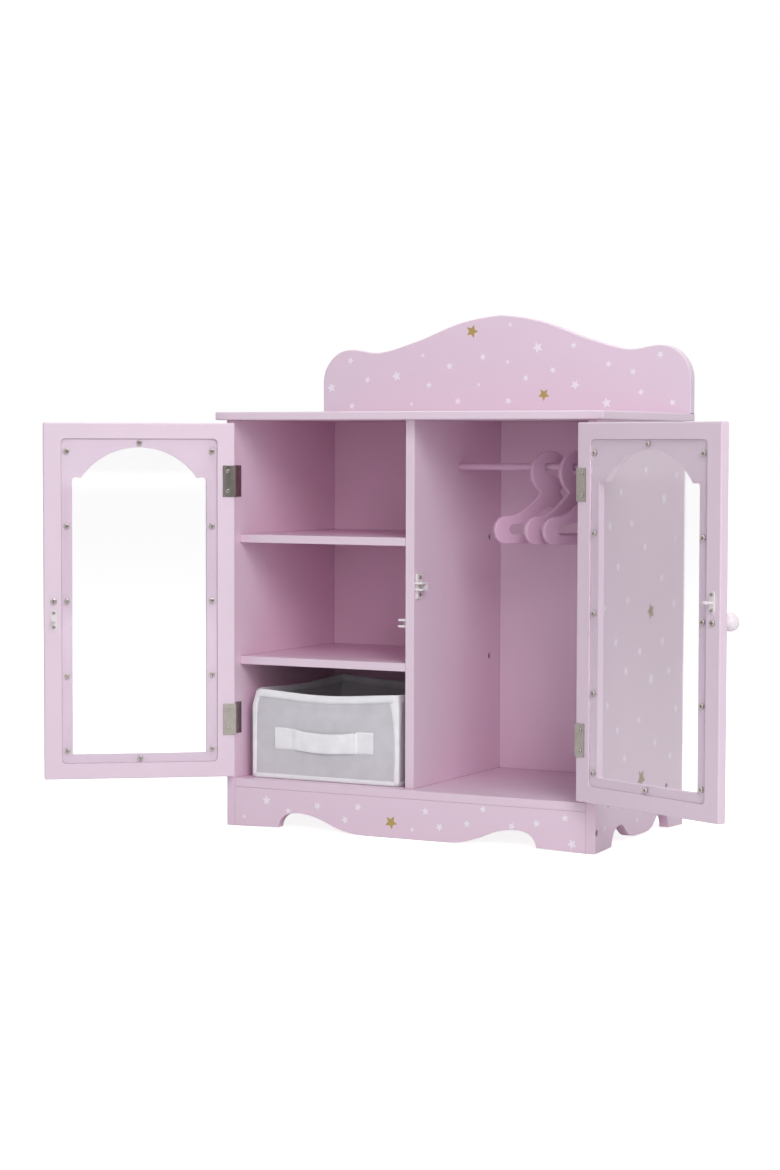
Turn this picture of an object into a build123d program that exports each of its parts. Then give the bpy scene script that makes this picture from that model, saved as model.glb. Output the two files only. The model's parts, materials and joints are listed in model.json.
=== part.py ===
"""Doll closet: a case with two arched glazed doors, shelves, a hanging rail, hangers and a fabric bin.

Lengths are in millimetres. X runs to the right, Y to the back and Z up. The origin is on the floor, at
the front plane, half way between the sides. The doors are built shut and then turned to where they stand.
"""

import math
import os

from build123d import *

# Case
case_width = 450.0
case_depth = 252.0
side_thickness = 10.5
divider_thickness = 10.5
floor_clearance = 44.0
bottom_thickness = 9.5
inner_height = 401.5
shelf_thickness = 9.0
shelf_bays = 3
inner_setback = 12.0
top_thickness = 9.0
top_side_overhang = 10.0
top_front_overhang = 8.0
edge_round = 1.5
joint_edge_round = 0.5
cut_overrun = 1.0

# Back panel, held in grooves
back_thickness = 3.0
back_inset = 19.0
groove_depth = 4.0
groove_clearance = 0.15

# Scalloped foot line of the apron and the sides
apron_thickness = 10.0
apron_foot_length = 57.0
apron_arch_height = 17.5
apron_arch_inset = 40.0
apron_lobe_half_length = 46.0
side_foot_length = 45.0
side_arch_height = 22.0
side_arch_inset = 27.0
side_lobe_clearance = 5.5
side_lobe_half_length = 12.0
foot_corner_height = 2.0

# Crown on the top board
crown_thickness = 12.0
crown_height = 114.0
crown_lobe_height = 77.0
crown_dip_height = 73.0
crown_lobe_inset = 38.0
crown_dip_inset = 68.0
crown_shoulder_height = 37.0
crown_cheek_inset = 11.0
crown_cheek_height = 65.3
crown_swell_inset = 138.0
crown_swell_height = 89.8
crown_flank_inset = 105.0
crown_flank_height = 79.4
crown_brow_inset = 187.0
crown_brow_height = 107.0
crown_lobe_pull_share = 1.0
crown_peak_pull_share = 0.5

# Doors
door_thickness = 10.5
door_end_gap = 3.5
door_hinge_gap = 2.2
door_meeting_gap = 2.0
left_door_degrees = 143.0
right_door_degrees = 155.0
pane_recess_depth = 2.5
pane_recess_side = 19.5
pane_recess_end = 17.5
pane_recess_corner = 5.0
window_side = 31.5
window_end = 27.0
window_shoulder = 10.0
window_arch_rise = 32.7
window_corner = 2.0
window_shoulder_round = 4.0
window_cusp_drop = 1.2
pane_thickness = 1.5
pane_clearance = 0.4
pane_screw_rows = 5

# Hinges
hinge_length = 35.0
hinge_end_distance = 64.5
hinge_leaf_thickness = 0.8
hinge_leaf_width = 13.5
hinge_knuckle_radius = 2.1
hinge_pin_radius = 1.05
hinge_pin_clearance = 0.05
hinge_pin_head = 0.5
hinge_running_gap = 0.4
pivot_inboard = 1.3
pivot_proud = 2.2
hinge_screw_pitch = 22.0
hinge_screw_line = 8.0
middle_barrel_share = 1 / 3

# Latch line: knob, strike and catch
latch_line = 10.8
latch_pitch = 20.3
knob_radius = 9.25
knob_length = 21.0
knob_stem_radius = 4.5
knob_base_radius = 6.0
knob_base_length = 2.5
knob_neck_share = 0.42
strike_height = 22.0
strike_width = 7.0
strike_thickness = 1.2
strike_screw_pitch = 15.8
prong_length = 11.3
prong_width = 4.0
prong_height = 2.4
prong_head_height = 3.6
prong_head_length = 3.5
prong_tip_share = 1 / 3
catch_height = 27.0
catch_depth = 11.0
catch_plate = 2.0
catch_screw_pitch = 19.0
catch_arm_reach = 9.5
catch_arm_thickness = 2.2
catch_arm_gap = 4.6
catch_front_setback = 1.5
catch_arm_length = 14.0

# Rail and hangers
rail_radius = 4.0
rail_depth = 124.0
rail_drop = 51.0
rail_socket_depth = 5.0
rail_clearance = 0.1
rail_chamfer = 0.3
hanger_thickness = 6.0
hanger_round = 1.8
hanger_neck_round = 3.0
hanger_half_span = 71.0
hanger_head_radius = 24.0
hanger_head_drop = 6.0
hanger_neck_half = 11.5
hanger_end_radius = 15.5
hanger_neck_pull_share = 0.8
hanger_end_pull_share = 1.2
hanger_height = 102.0
hanger_eye_width = 15.0
hanger_eye_height = 12.5
hanger_eye_corner = 3.5
hanger_mouth = 9.4
hanger_mouth_degrees = 25.0
hanger_seat_gap = 0.3
hanger_slot_end_radius = 5.6
hanger_slot_inset = 18.0
hanger_slot_floor = 10.5
hanger_slot_peak = 30.0
hanger_side_gaps = [100.0, 67.0, 44.0]
hanger_yaw_degrees = [33.0, 28.0, 30.0]

# Fabric bin
bin_side_gap = 11.0
bin_depth = 210.0
bin_height = 100.0
bin_wall = 2.4
bin_binding = 0.8
bin_binding_height = 8.0
bin_corner = 5.0
bin_back_gap = 2.5
bin_board_thickness = 2.0
bin_board_clearance = 1.0
bin_floor_gap = 0.3
handle_length = 125.0
handle_tab = 20.0
handle_height = 25.0
handle_thickness = 1.2
handle_bow = 4.8
handle_centre_height = 45.0

# Fasteners
pan_head_radius = 3.0
pan_head_height = 1.2
pan_shank_radius = 1.3
pan_screw_length = 6.5
leaf_head_radius = 2.2
leaf_shank_radius = 1.1
leaf_screw_length = 8.0
knob_head_radius = 3.6
knob_head_height = 1.5
knob_shank_radius = 1.8
knob_thread_length = 10.0
case_head_radius = 3.5
case_head_height = 2.0
case_shank_radius = 2.0
case_screw_length = 38.0
case_head_sink = 1.0
shelf_screw_length = 30.0
dowel_radius = 3.0
dowel_length = 24.0
dowel_sink_share = 2 / 3
screw_clearance = 0.08
cross_width = 0.8
cross_length_share = 1.2
cross_depth_share = 0.55

# Places worked out from the sizes above
half_width = case_width / 2
side_face = half_width - side_thickness
hanger_places = [side_face - gap for gap in hanger_side_gaps]
divider_face = divider_thickness / 2
bottom_top = floor_clearance + bottom_thickness
case_height = bottom_top + inner_height
top_top = case_height + top_thickness
back_face = case_depth - back_inset - back_thickness
top_half_width = half_width + top_side_overhang
door_bottom = bottom_top + door_end_gap
door_height = inner_height - 2 * door_end_gap
door_top = door_bottom + door_height
door_width = side_face - door_hinge_gap - door_meeting_gap / 2
door_edge = door_meeting_gap / 2
door_middle = door_bottom + door_height / 2
pivot_x = side_face - pivot_inboard
pivot_y = -pivot_proud
latch_x = door_edge + latch_line
hinge_heights = [door_bottom + hinge_end_distance, door_top - hinge_end_distance]
shelf_pitch = (inner_height + shelf_thickness) / shelf_bays
lower_shelf_top = bottom_top + shelf_pitch
upper_shelf_top = lower_shelf_top + shelf_pitch
rail_height = case_height - rail_drop
screw_front = inner_setback + dowel_length
screw_back = case_depth - back_inset * 2 - inner_setback


def block(x0, x1, y0, y1, z0, z1):
    """A box between two corners."""
    size = (abs(x1 - x0), abs(y1 - y0), abs(z1 - z0))
    middle = ((x0 + x1) / 2, (y0 + y1) / 2, (z0 + z1) / 2)
    return Pos(*middle) * Box(*size)


def rod(start, direction, radius, length):
    """A round bar from a point along a direction."""
    plane = Plane(origin=start, z_dir=direction)
    return plane * Cylinder(radius, length, align=(Align.CENTER, Align.CENTER, Align.MIN))


def screw(start, direction, head, head_height, shank, length):
    """A cross-headed screw: start is under the head, and direction is the way it goes in."""
    plane = Plane(origin=start, z_dir=tuple(-d for d in direction))
    low = (Align.CENTER, Align.CENTER, Align.MIN)
    top = Cylinder(head, head_height, align=low)
    top = fillet(top.edges().group_by(Axis.Z)[-1], head_height * cross_depth_share)
    sunk = head_height * cross_depth_share
    for turn in (0, 90):
        slot = Box(head * cross_length_share, cross_width, sunk, align=low)
        top -= Pos(0, 0, head_height - sunk) * (Rot(0, 0, turn) * slot)
    bar = Cylinder(shank, length, align=(Align.CENTER, Align.CENTER, Align.MAX))
    return plane * (top + bar)


def write(name, shape):
    """Writes one named piece, or a group of like separate pieces."""
    if isinstance(shape, list):
        shape = Compound(children=shape)
    shape.label = name
    export_step(shape, os.path.join("parts", name + ".step"))


def spline_face(plane, draw):
    """A face on a plane, from a function that draws its closed line."""
    with BuildSketch(plane) as sketch:
        with BuildLine():
            draw()
        make_face()
    return sketch.sketch


# Foot line

def foot_line(half, foot, arch_inset, arch, lobe_half, lobe_rise, top):
    """Half-symmetric scalloped lower edge with a straight top, drawn about the middle."""
    corner = (half - foot, foot_corner_height)
    crest = (half - foot - arch_inset, arch)
    lobe = (lobe_half, lobe_rise)
    for s in (1, -1):
        Line((s * half, top), (s * half, 0))
        Line((s * half, 0), (s * corner[0], corner[1]))
        Spline(
            (s * corner[0], corner[1]),
            (s * crest[0], crest[1]),
            (s * lobe[0], lobe[1]),
            tangents=((-s * foot_corner_height, arch), (-s * arch, 0)),
        )
    Line((-lobe_half, lobe_rise), (lobe_half, lobe_rise))
    Line((-half, top), (half, top))


def front_edges(board):
    """The edges of a board's front face."""
    return board.faces().sort_by(Axis.Y)[0].edges()


def front_apron():
    """The rail under the bottom board, between the sides."""
    face = spline_face(
        Plane(origin=(0, 0, 0), x_dir=(1, 0, 0), z_dir=(0, -1, 0)),
        lambda: foot_line(
            side_face,
            apron_foot_length,
            apron_arch_inset,
            apron_arch_height,
            apron_lobe_half_length,
            0,
            floor_clearance,
        ),
    )
    apron = extrude(face, -apron_thickness)
    straight = front_edges(apron).filter_by(lambda e: e.geom_type == GeomType.LINE)
    seams = straight.filter_by(lambda e: e.length > apron_arch_height and e.center().Z > joint_edge_round)
    apron = fillet(seams, joint_edge_round)
    for s in (-1, 1):
        for place in side_screw_places(s)[2:]:
            apron -= sunk_cut(*place, case_screw_length)
    return apron


def side_panel(s):
    """One side of the case, with its scalloped feet, grooves and holes."""
    middle = case_depth / 2
    face = spline_face(
        Plane(origin=(s * side_face, middle, 0), x_dir=(0, 1, 0), z_dir=(1, 0, 0)),
        lambda: foot_line(
            middle,
            side_foot_length,
            side_arch_inset,
            side_arch_height,
            side_lobe_half_length,
            side_lobe_clearance,
            case_height,
        ),
    )
    panel = extrude(face, s * side_thickness)
    upright = panel.edges().filter_by(Axis.Z)
    upright = upright.filter_by(lambda e: abs(e.center().X) > half_width - edge_round)
    panel = fillet(upright, edge_round)
    inner = panel.edges().filter_by(Axis.Z).filter_by(lambda e: e.center().Y < edge_round)
    panel = fillet(inner.filter_by(lambda e: abs(e.center().X) < side_face + edge_round / 2), joint_edge_round)
    panel -= back_groove(s)
    for place in side_screw_places(s):
        panel -= sunk_cut(*place, case_screw_length)
    for place in side_shelf_screw_places(s):
        panel -= sunk_cut(*place, shelf_screw_length)
    if s > 0:
        panel -= rail_socket(s)
    for cut in dowel_cuts(side_dowel_places(s)):
        panel -= cut
    for z in hinge_heights:
        for cut in fixed_screw_cuts(s, z):
            panel -= cut
    return panel


def back_groove(s):
    """The groove that holds one edge of the back panel."""
    inner = s * side_face
    return block(
        inner - s * cut_overrun,
        inner + s * groove_depth,
        back_face - groove_clearance,
        back_face + back_thickness + groove_clearance,
        bottom_top - groove_clearance,
        case_height + cut_overrun,
    )


def back_panel():
    """The thin panel that closes the back, between the top and bottom boards."""
    reach = side_face + groove_depth - groove_clearance
    return block(-reach, reach, back_face, back_face + back_thickness, bottom_top, case_height)


# Case fixings

def sunk_cut(start, direction, length):
    """The stepped hole for one case or shelf screw."""
    sink = case_head_sink + case_head_height
    hole = rod(start, direction, case_head_radius + screw_clearance, sink)
    deep = length + sink + cut_overrun
    return hole + rod(start, direction, case_shank_radius + screw_clearance, deep)


def sunk_screw(start, direction, length):
    """One case or shelf screw, its head sunk under the face it goes through."""
    sink = case_head_sink + case_head_height
    under = tuple(p + d * sink for p, d in zip(start, direction))
    return screw(under, direction, case_head_radius, case_head_height, case_shank_radius, length)


def side_screw_places(s):
    """Where the case screws go through one side: the bottom board twice and the apron once."""
    board = floor_clearance + bottom_thickness / 2
    inward = (-s, 0, 0)
    face = s * half_width
    return [
        ((face, screw_front, board), inward),
        ((face, screw_back, board), inward),
        ((face, apron_thickness / 2, floor_clearance / 2), inward),
    ]


def shelf_heights(s):
    """The middle heights of the shelves that meet a face on one side."""
    tops = [lower_shelf_top, upper_shelf_top] if s < 0 else []
    return [t - shelf_thickness / 2 for t in tops]


def side_shelf_screw_places(s):
    """Where the shelf screws go through the left side."""
    return [((s * half_width, screw_back, z), (-s, 0, 0)) for z in shelf_heights(s)]


def divider_shelf_screw_places():
    """Where the shelf screws go through the divider, from its right face."""
    return [((divider_face, screw_back, z), (-1, 0, 0)) for z in shelf_heights(-1)]


def side_dowel_places(s):
    """Upright dowels that pin the top board to one side."""
    x = s * (side_face + side_thickness / 2)
    return [(x, y, case_height) for y in (screw_front, back_face - back_inset)]


def divider_dowel_places():
    """Upright dowels above and below the divider."""
    ys = (screw_front + inner_setback, back_face - back_inset)
    return [(0, y, z) for y in ys for z in (bottom_top, case_height)]


def crown_dowel_places():
    """Upright dowels that pin the crown to the top board."""
    y = case_depth - crown_thickness / 2
    return [(x, y, top_top) for x in (-crown_swell_inset, crown_swell_inset)]


def dowel_places():
    """Every dowel joint of the case."""
    sides = side_dowel_places(-1) + side_dowel_places(1)
    return sides + divider_dowel_places() + crown_dowel_places()


def dowel_reach(z):
    """How far a dowel goes down and up from a joint at a height."""
    board = bottom_thickness if z == bottom_top else top_thickness
    short = board * dowel_sink_share
    if z == case_height:
        return dowel_length - short, short
    return short, dowel_length - short


def dowels(places):
    """The dowels at a list of joints."""
    made = []
    for x, y, z in places:
        down, up = dowel_reach(z)
        made.append(rod((x, y, z - down), (0, 0, 1), dowel_radius, down + up))
    return made


def dowel_cuts(places):
    """The holes for the dowels at a list of joints."""
    made = []
    for x, y, z in places:
        down, up = dowel_reach(z)
        low = z - down - screw_clearance
        high = z + up + screw_clearance
        made.append(rod((x, y, low), (0, 0, 1), dowel_radius + screw_clearance, high - low))
    return made


# Boards

def bottom_board():
    """The floor of the case, flush with the apron's face."""
    board = block(-side_face, side_face, 0, case_depth, floor_clearance, bottom_top)
    board = fillet(front_edges(board), joint_edge_round)
    for s in (-1, 1):
        for place in side_screw_places(s)[:2]:
            board -= sunk_cut(*place, case_screw_length)
    for cut in dowel_cuts(divider_dowel_places()):
        board -= cut
    return board


def top_board():
    """The lid of the case, with rounded rims, overhanging the front and both sides."""
    board = block(-top_half_width, top_half_width, -top_front_overhang, case_depth, case_height, top_top)
    rim = board.edges().filter_by(lambda e: e.center().Y < case_depth - edge_round)
    board = fillet(rim, edge_round)
    for cut in dowel_cuts(dowel_places()) + crown_screw_cuts():
        board -= cut
    return board


def divider():
    """The upright between the shelves and the hanging bay."""
    board = block(
        -divider_face, divider_face, inner_setback, back_face, bottom_top, case_height
    )
    board = fillet(front_edges(board).filter_by(Axis.Z), joint_edge_round)
    for place in divider_shelf_screw_places():
        board -= sunk_cut(*place, shelf_screw_length)
    for cut in dowel_cuts(divider_dowel_places()):
        board -= cut
    board -= rail_socket(-1)
    for s in (-1, 1):
        for cut in catch_screw_cuts(s):
            board -= cut
    return board


def shelf(top):
    """One shelf between the left side and the divider."""
    board = block(-side_face, -divider_face, inner_setback, back_face, top - shelf_thickness, top)
    board = fillet(front_edges(board).filter_by(Axis.X), joint_edge_round)
    z = top - shelf_thickness / 2
    board -= sunk_cut((-half_width, screw_back, z), (1, 0, 0), shelf_screw_length)
    board -= sunk_cut((divider_face, screw_back, z), (-1, 0, 0), shelf_screw_length)
    return board


# Crown

def crown_line():
    """The crown's outline: two end lobes, two dips and a tall middle, on a straight foot."""
    w = top_half_width
    top = top_top
    Line((-w, top), (w, top))
    for s in (1, -1):
        lobe = (s * (w - crown_lobe_inset), top + crown_lobe_height)
        dip = (s * (w - crown_dip_inset), top + crown_dip_height)
        flank = (s * (w - crown_flank_inset), top + crown_flank_height)
        swell = (s * (w - crown_swell_inset), top + crown_swell_height)
        brow = (s * (w - crown_brow_inset), top + crown_brow_height)
        cheek = (s * (w - crown_cheek_inset), top + crown_cheek_height)
        peak = (0, top + crown_height)
        Line((s * w, top), (s * w, top + crown_shoulder_height))
        Spline((s * w, top + crown_shoulder_height), cheek, lobe, tangents=((0, w), (-s * w, 0)))
        Spline(
            lobe, dip, flank, swell, brow, peak,
            tangents=((-s * w, 0), (-s * w, 0)),
            tangent_scalars=(crown_lobe_pull_share, crown_peak_pull_share),
        )


def crown_panel():
    """The shaped board that stands along the back of the top board."""
    face = spline_face(
        Plane(origin=(0, case_depth, 0), x_dir=(-1, 0, 0), z_dir=(0, 1, 0)), crown_line
    )
    crown = extrude(face, -crown_thickness)
    rim = crown.edges().filter_by(lambda e: e.center().Z > top_top + edge_round)
    rim = rim.filter_by(lambda e: abs(e.bounding_box().size.Y) < edge_round)
    crown = fillet(rim, edge_round)
    for cut in dowel_cuts(crown_dowel_places()) + crown_screw_cuts():
        crown -= cut
    return crown


def crown_screw_places():
    """Screws that come up through the top board into the crown."""
    y = case_depth - crown_thickness / 2
    return [(x, y, case_height) for x in (-crown_dip_inset, crown_dip_inset)]


def crown_screws():
    """The screws that hold the crown down."""
    made = []
    for x, y, z in crown_screw_places():
        start = (x, y, z + pan_head_height)
        made.append(
            screw(start, (0, 0, 1), pan_head_radius, pan_head_height, pan_shank_radius, dowel_length)
        )
    return made


def crown_screw_cuts():
    """The sunk holes for the crown's screws."""
    made = []
    for x, y, z in crown_screw_places():
        low = (x, y, z - cut_overrun)
        head = rod(low, (0, 0, 1), pan_head_radius + screw_clearance, cut_overrun + pan_head_height)
        deep = cut_overrun * 2 + pan_head_height + dowel_length
        made.append(head + rod(low, (0, 0, 1), pan_shank_radius + screw_clearance, deep))
    return made


# Hanging rail

def rail_end(s):
    """The X of one end of the rail, in its socket."""
    return side_face + rail_socket_depth if s > 0 else divider_face - rail_socket_depth


def rail_socket(s):
    """The blind round socket for one end of the rail."""
    face = side_face if s > 0 else divider_face
    start = (face - s * cut_overrun, rail_depth, rail_height)
    deep = rail_socket_depth + cut_overrun + rail_clearance
    return rod(start, (s, 0, 0), rail_radius + rail_clearance, deep)


def hanging_rail():
    """The round rail across the hanging bay."""
    length = rail_end(1) - rail_end(-1)
    bar = rod((rail_end(-1), rail_depth, rail_height), (1, 0, 0), rail_radius, length)
    return chamfer(bar.edges(), rail_chamfer)


# Hangers

def hanger_line():
    """A hanger's outer line about its middle, with Z measured from the rail's middle."""
    head = -hanger_head_drop
    neck_drop = math.sqrt(hanger_head_radius**2 - hanger_neck_half**2)
    foot = head + hanger_head_radius - hanger_height
    end_x = hanger_half_span - hanger_end_radius
    end_z = foot + hanger_end_radius
    top = end_z + hanger_end_radius
    ThreePointArc(
        (-hanger_neck_half, head - neck_drop),
        (0, head + hanger_head_radius),
        (hanger_neck_half, head - neck_drop),
    )
    Line((-end_x, foot), (end_x, foot))
    for s in (1, -1):
        Spline(
            (s * hanger_neck_half, head - neck_drop),
            (s * end_x, top),
            tangents=((s * hanger_end_radius, -hanger_end_radius), (s * hanger_end_radius, 0)),
            tangent_scalars=(hanger_neck_pull_share, hanger_end_pull_share),
        )
        ThreePointArc((s * end_x, top), (s * hanger_half_span, end_z), (s * end_x, foot))


def hanger_slot_line():
    """The long slot for straps and bottoms in a hanger's body."""
    foot = hanger_head_radius - hanger_head_drop - hanger_height + hanger_slot_floor
    end_x = hanger_half_span - hanger_slot_inset - hanger_slot_end_radius
    end_z = foot + hanger_slot_end_radius
    top = end_z + hanger_slot_end_radius
    Line((-end_x, foot), (end_x, foot))
    for s in (1, -1):
        ThreePointArc(
            (s * end_x, foot), (s * (end_x + hanger_slot_end_radius), end_z), (s * end_x, top)
        )
    Spline(
        (end_x, top),
        (0, foot + hanger_slot_peak),
        (-end_x, top),
        tangents=((-hanger_slot_peak, 0), (-hanger_slot_peak, 0)),
    )


def hanger_eye():
    """The flat-roofed eye over the rail and its mouth to the back."""
    roof = rail_radius + hanger_seat_gap
    eye = Pos(0, roof - hanger_eye_height / 2) * RectangleRounded(
        hanger_eye_width, hanger_eye_height, hanger_eye_corner
    )
    reach = hanger_head_radius * 2
    mouth = Pos(0, roof - hanger_eye_height / 2) * (
        Rot(0, 0, -hanger_mouth_degrees) * (Pos(reach / 2, 0) * Rectangle(reach, hanger_mouth))
    )
    return eye + mouth


def hanger(place, yaw):
    """One hanger on the rail, turned about the upright through its eye."""
    face = spline_face(Plane.XZ, hanger_line)
    neck = face.vertices().filter_by(lambda v: abs(v.X) < hanger_neck_half + hanger_round)
    face = fillet(neck, hanger_neck_round)
    plate = extrude(face, hanger_thickness / 2, both=True)
    rims = plate.edges().filter_by(lambda e: abs(e.bounding_box().size.Y) < hanger_round)
    plate = fillet(rims, hanger_round)
    plate -= extrude(spline_face(Plane.XZ, hanger_slot_line), hanger_thickness, both=True)
    plate -= extrude(Plane.XZ * hanger_eye(), hanger_thickness, both=True)
    return Pos(place, rail_depth, rail_height) * (Rot(0, 0, 90 - yaw) * plate)


# Doors

def turned(shape, s, angle):
    """Turns a piece that was built on a shut door to where the open door holds it."""
    axis = Axis((s * pivot_x, pivot_y, 0), (0, 0, 1))
    if isinstance(shape, list):
        return [piece.rotate(axis, s * angle) for piece in shape]
    return shape.rotate(axis, s * angle)


def window_line():
    """The arched window's outline, about the door's middle, with Z from the door's foot."""
    half = door_width / 2 - window_side
    low = window_end
    high = door_height - window_end
    spring = high - window_arch_rise
    cusp = spring - window_cusp_drop
    arch = half - window_shoulder
    Line((-half, low), (half, low))
    Line((-arch, cusp), (-half, spring))
    Line((half, spring), (arch, cusp))
    Line((-half, low), (-half, spring))
    Line((half, spring), (half, low))
    ThreePointArc((-arch, cusp), (0, high), (arch, cusp))


def window_face(plane):
    """The window's face on a plane: its foot and shoulders rounded, the cusps of its arch sharp."""
    face = spline_face(plane, window_line)
    face = fillet(face.vertices().group_by(Axis.Z)[0], window_corner)
    return fillet(face.vertices().group_by(Axis.Z)[-1], window_shoulder_round)


def door_panel(s):
    """A shut door's board: rounded rims, an arched window and a recess behind it for the pane."""
    x0 = s * door_edge
    x1 = s * (door_edge + door_width)
    middle = (x0 + x1) / 2
    panel = block(x0, x1, 0, door_thickness, door_bottom, door_top)
    panel = fillet(panel.edges(), edge_round)
    plane = Plane(origin=(middle, 0, door_bottom), x_dir=(1, 0, 0), z_dir=(0, -1, 0))
    panel -= extrude(window_face(plane), door_thickness + cut_overrun, both=True)
    panel -= pane_block(s, 0, door_thickness - pane_recess_depth, door_thickness + cut_overrun)
    for x, z in pane_screw_places(s):
        start = (x, door_thickness - pane_recess_depth + cut_overrun, z)
        panel -= rod(start, (0, -1, 0), pan_shank_radius + screw_clearance, pan_screw_length)
    panel -= knob_screw_cut(s)
    for cut in strike_screw_cuts(s) + door_screw_cuts(s):
        panel -= cut
    return panel


def pane_block(s, clearance, y0, y1):
    """A round-cornered slab that fills the pane's recess, less a clearance, between two depths."""
    width = door_width - 2 * pane_recess_side - 2 * clearance
    height = door_height - 2 * pane_recess_end - 2 * clearance
    plane = Plane(
        origin=(s * (door_edge + door_width / 2), y0, door_middle), x_dir=(1, 0, 0), z_dir=(0, 1, 0)
    )
    outline = RectangleRounded(width, height, pane_recess_corner - clearance)
    return extrude(plane * outline, y1 - y0)


def pane_screw_places(s):
    """The X and Z of the pane's screws: rows up both sides, one above the window and one below."""
    middle = s * (door_edge + door_width / 2)
    half = (door_width - pane_recess_side - window_side) / 2
    low = door_bottom + window_side
    high = door_top - window_side
    step = (high - low) / (pane_screw_rows - 1)
    rows = [low + step * i for i in range(pane_screw_rows)]
    places = [(middle + t * half, z) for t in (-1, 1) for z in rows]
    rim = (pane_recess_end + window_end) / 2
    return places + [(middle, door_bottom + rim), (middle, door_top - rim)]


def pane(s):
    """The clear sheet behind the window."""
    y0 = door_thickness - pane_recess_depth
    sheet = pane_block(s, pane_clearance, y0, y0 + pane_thickness)
    for x, z in pane_screw_places(s):
        start = (x, y0 - cut_overrun, z)
        deep = pane_thickness + 2 * cut_overrun
        sheet -= rod(start, (0, 1, 0), pan_shank_radius + screw_clearance, deep)
    return sheet


def pane_screws(s):
    """The small screws that hold the pane in its recess."""
    y = door_thickness - pane_recess_depth + pane_thickness
    length = pan_screw_length - cut_overrun + pane_thickness - screw_clearance
    return [
        screw((x, y, z), (0, -1, 0), pan_head_radius, pan_head_height, pan_shank_radius, length)
        for x, z in pane_screw_places(s)
    ]


# Hinges

def knuckle(s, z, low, high):
    """One barrel of a hinge between two heights about its middle."""
    return rod((s * pivot_x, pivot_y, z + low), (0, 0, 1), hinge_knuckle_radius, high - low)


def hinge_third():
    """Half the length of the middle barrel."""
    return hinge_length * middle_barrel_share / 2


def pin_hole(s, z):
    """The hole through every barrel of a hinge."""
    start = (s * pivot_x, pivot_y, z - hinge_length)
    return rod(start, (0, 0, 1), hinge_pin_radius + hinge_pin_clearance, 2 * hinge_length)


def fixed_leaf(s, z):
    """The hinge leaf on the case side, with the two outer barrels."""
    half = hinge_length / 2
    third = hinge_third()
    outer = s * side_face
    inner = s * (side_face - hinge_leaf_thickness)
    leaf = block(outer, inner, pivot_y, hinge_leaf_width, z - half, z + half)
    gap = hinge_knuckle_radius + hinge_running_gap
    leaf -= rod((s * pivot_x, pivot_y, z - third), (0, 0, 1), gap, 2 * third)
    leaf -= block(
        s * (side_face + cut_overrun),
        s * (side_face - hinge_leaf_thickness - cut_overrun),
        pivot_y - cut_overrun,
        0,
        z - third,
        z + third,
    )
    leaf += knuckle(s, z, -half, -third)
    leaf += knuckle(s, z, third, half)
    leaf -= pin_hole(s, z)
    for y, h in fixed_screw_spots(z):
        start = (outer + s * cut_overrun, y, h)
        deep = hinge_leaf_thickness + 2 * cut_overrun
        leaf -= rod(start, (-s, 0, 0), leaf_head_radius + screw_clearance, deep)
    return leaf


def fixed_screw_spots(z):
    """The Y and Z of the screws in a fixed leaf."""
    return [(hinge_screw_line, z + t * hinge_screw_pitch / 2) for t in (-1, 1)]


def fixed_screws(s, z):
    """The flat-headed screws of a fixed leaf, flush with it."""
    face = s * (side_face - screw_clearance)
    head = hinge_leaf_thickness - 2 * screw_clearance
    return [
        screw((face, y, h), (s, 0, 0), leaf_head_radius, head, leaf_shank_radius, leaf_screw_length)
        for y, h in fixed_screw_spots(z)
    ]


def fixed_screw_cuts(s, z):
    """The holes in a side for the screws of a fixed leaf."""
    start = s * (side_face - cut_overrun)
    deep = leaf_screw_length + cut_overrun + screw_clearance
    return [
        rod((start, y, h), (s, 0, 0), leaf_shank_radius + screw_clearance, deep)
        for y, h in fixed_screw_spots(z)
    ]


def door_leaf(s, z):
    """The hinge leaf that wraps a shut door's end and inner face, with the middle barrel."""
    half = hinge_length / 2
    third = hinge_third()
    end = s * (side_face - door_hinge_gap)
    out = s * (side_face - door_hinge_gap + hinge_leaf_thickness)
    far = s * (side_face - door_hinge_gap - hinge_leaf_width)
    back = door_thickness + hinge_leaf_thickness
    wrap = block(end, out, pivot_y, back, z - half, z + half)
    gap = hinge_knuckle_radius + hinge_running_gap
    for t in (-1, 1):
        low = z + t * third
        high = z + t * (half + cut_overrun)
        wrap -= rod((s * pivot_x, pivot_y, min(low, high)), (0, 0, 1), gap, abs(high - low))
        wrap -= block(
            end - s * cut_overrun, out + s * cut_overrun, pivot_y - cut_overrun, 0, low, high
        )
    leaf = wrap + block(far, out, door_thickness, back, z - half, z + half)
    leaf += knuckle(s, z, -third + hinge_running_gap / 2, third - hinge_running_gap / 2)
    leaf -= pin_hole(s, z)
    for x, h in door_screw_spots(s, z):
        start = (x, door_thickness - cut_overrun, h)
        deep = hinge_leaf_thickness + 2 * cut_overrun
        leaf -= rod(start, (0, 1, 0), leaf_shank_radius + screw_clearance, deep)
    return leaf


def door_screw_spots(s, z):
    """The X and Z of the screws in a door leaf."""
    x = s * (side_face - door_hinge_gap - hinge_screw_line)
    return [(x, z + t * hinge_screw_pitch / 2) for t in (-1, 1)]


def door_hinge_screws(s):
    """The screws of both door leaves of one door."""
    y = door_thickness + hinge_leaf_thickness
    return [leaf_screw((x, y, h)) for z in hinge_heights for x, h in door_screw_spots(s, z)]


def leaf_screw(start):
    """One small screw into a shut door's inner face, through a leaf or a strike."""
    return screw(
        start, (0, -1, 0), leaf_head_radius, hinge_leaf_thickness, leaf_shank_radius, leaf_screw_length
    )


def leaf_screw_cut(x, z):
    """The hole in a shut door's inner face for one small screw."""
    start = (x, door_thickness + cut_overrun, z)
    deep = leaf_screw_length + cut_overrun
    return rod(start, (0, -1, 0), leaf_shank_radius + screw_clearance, deep)


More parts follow.
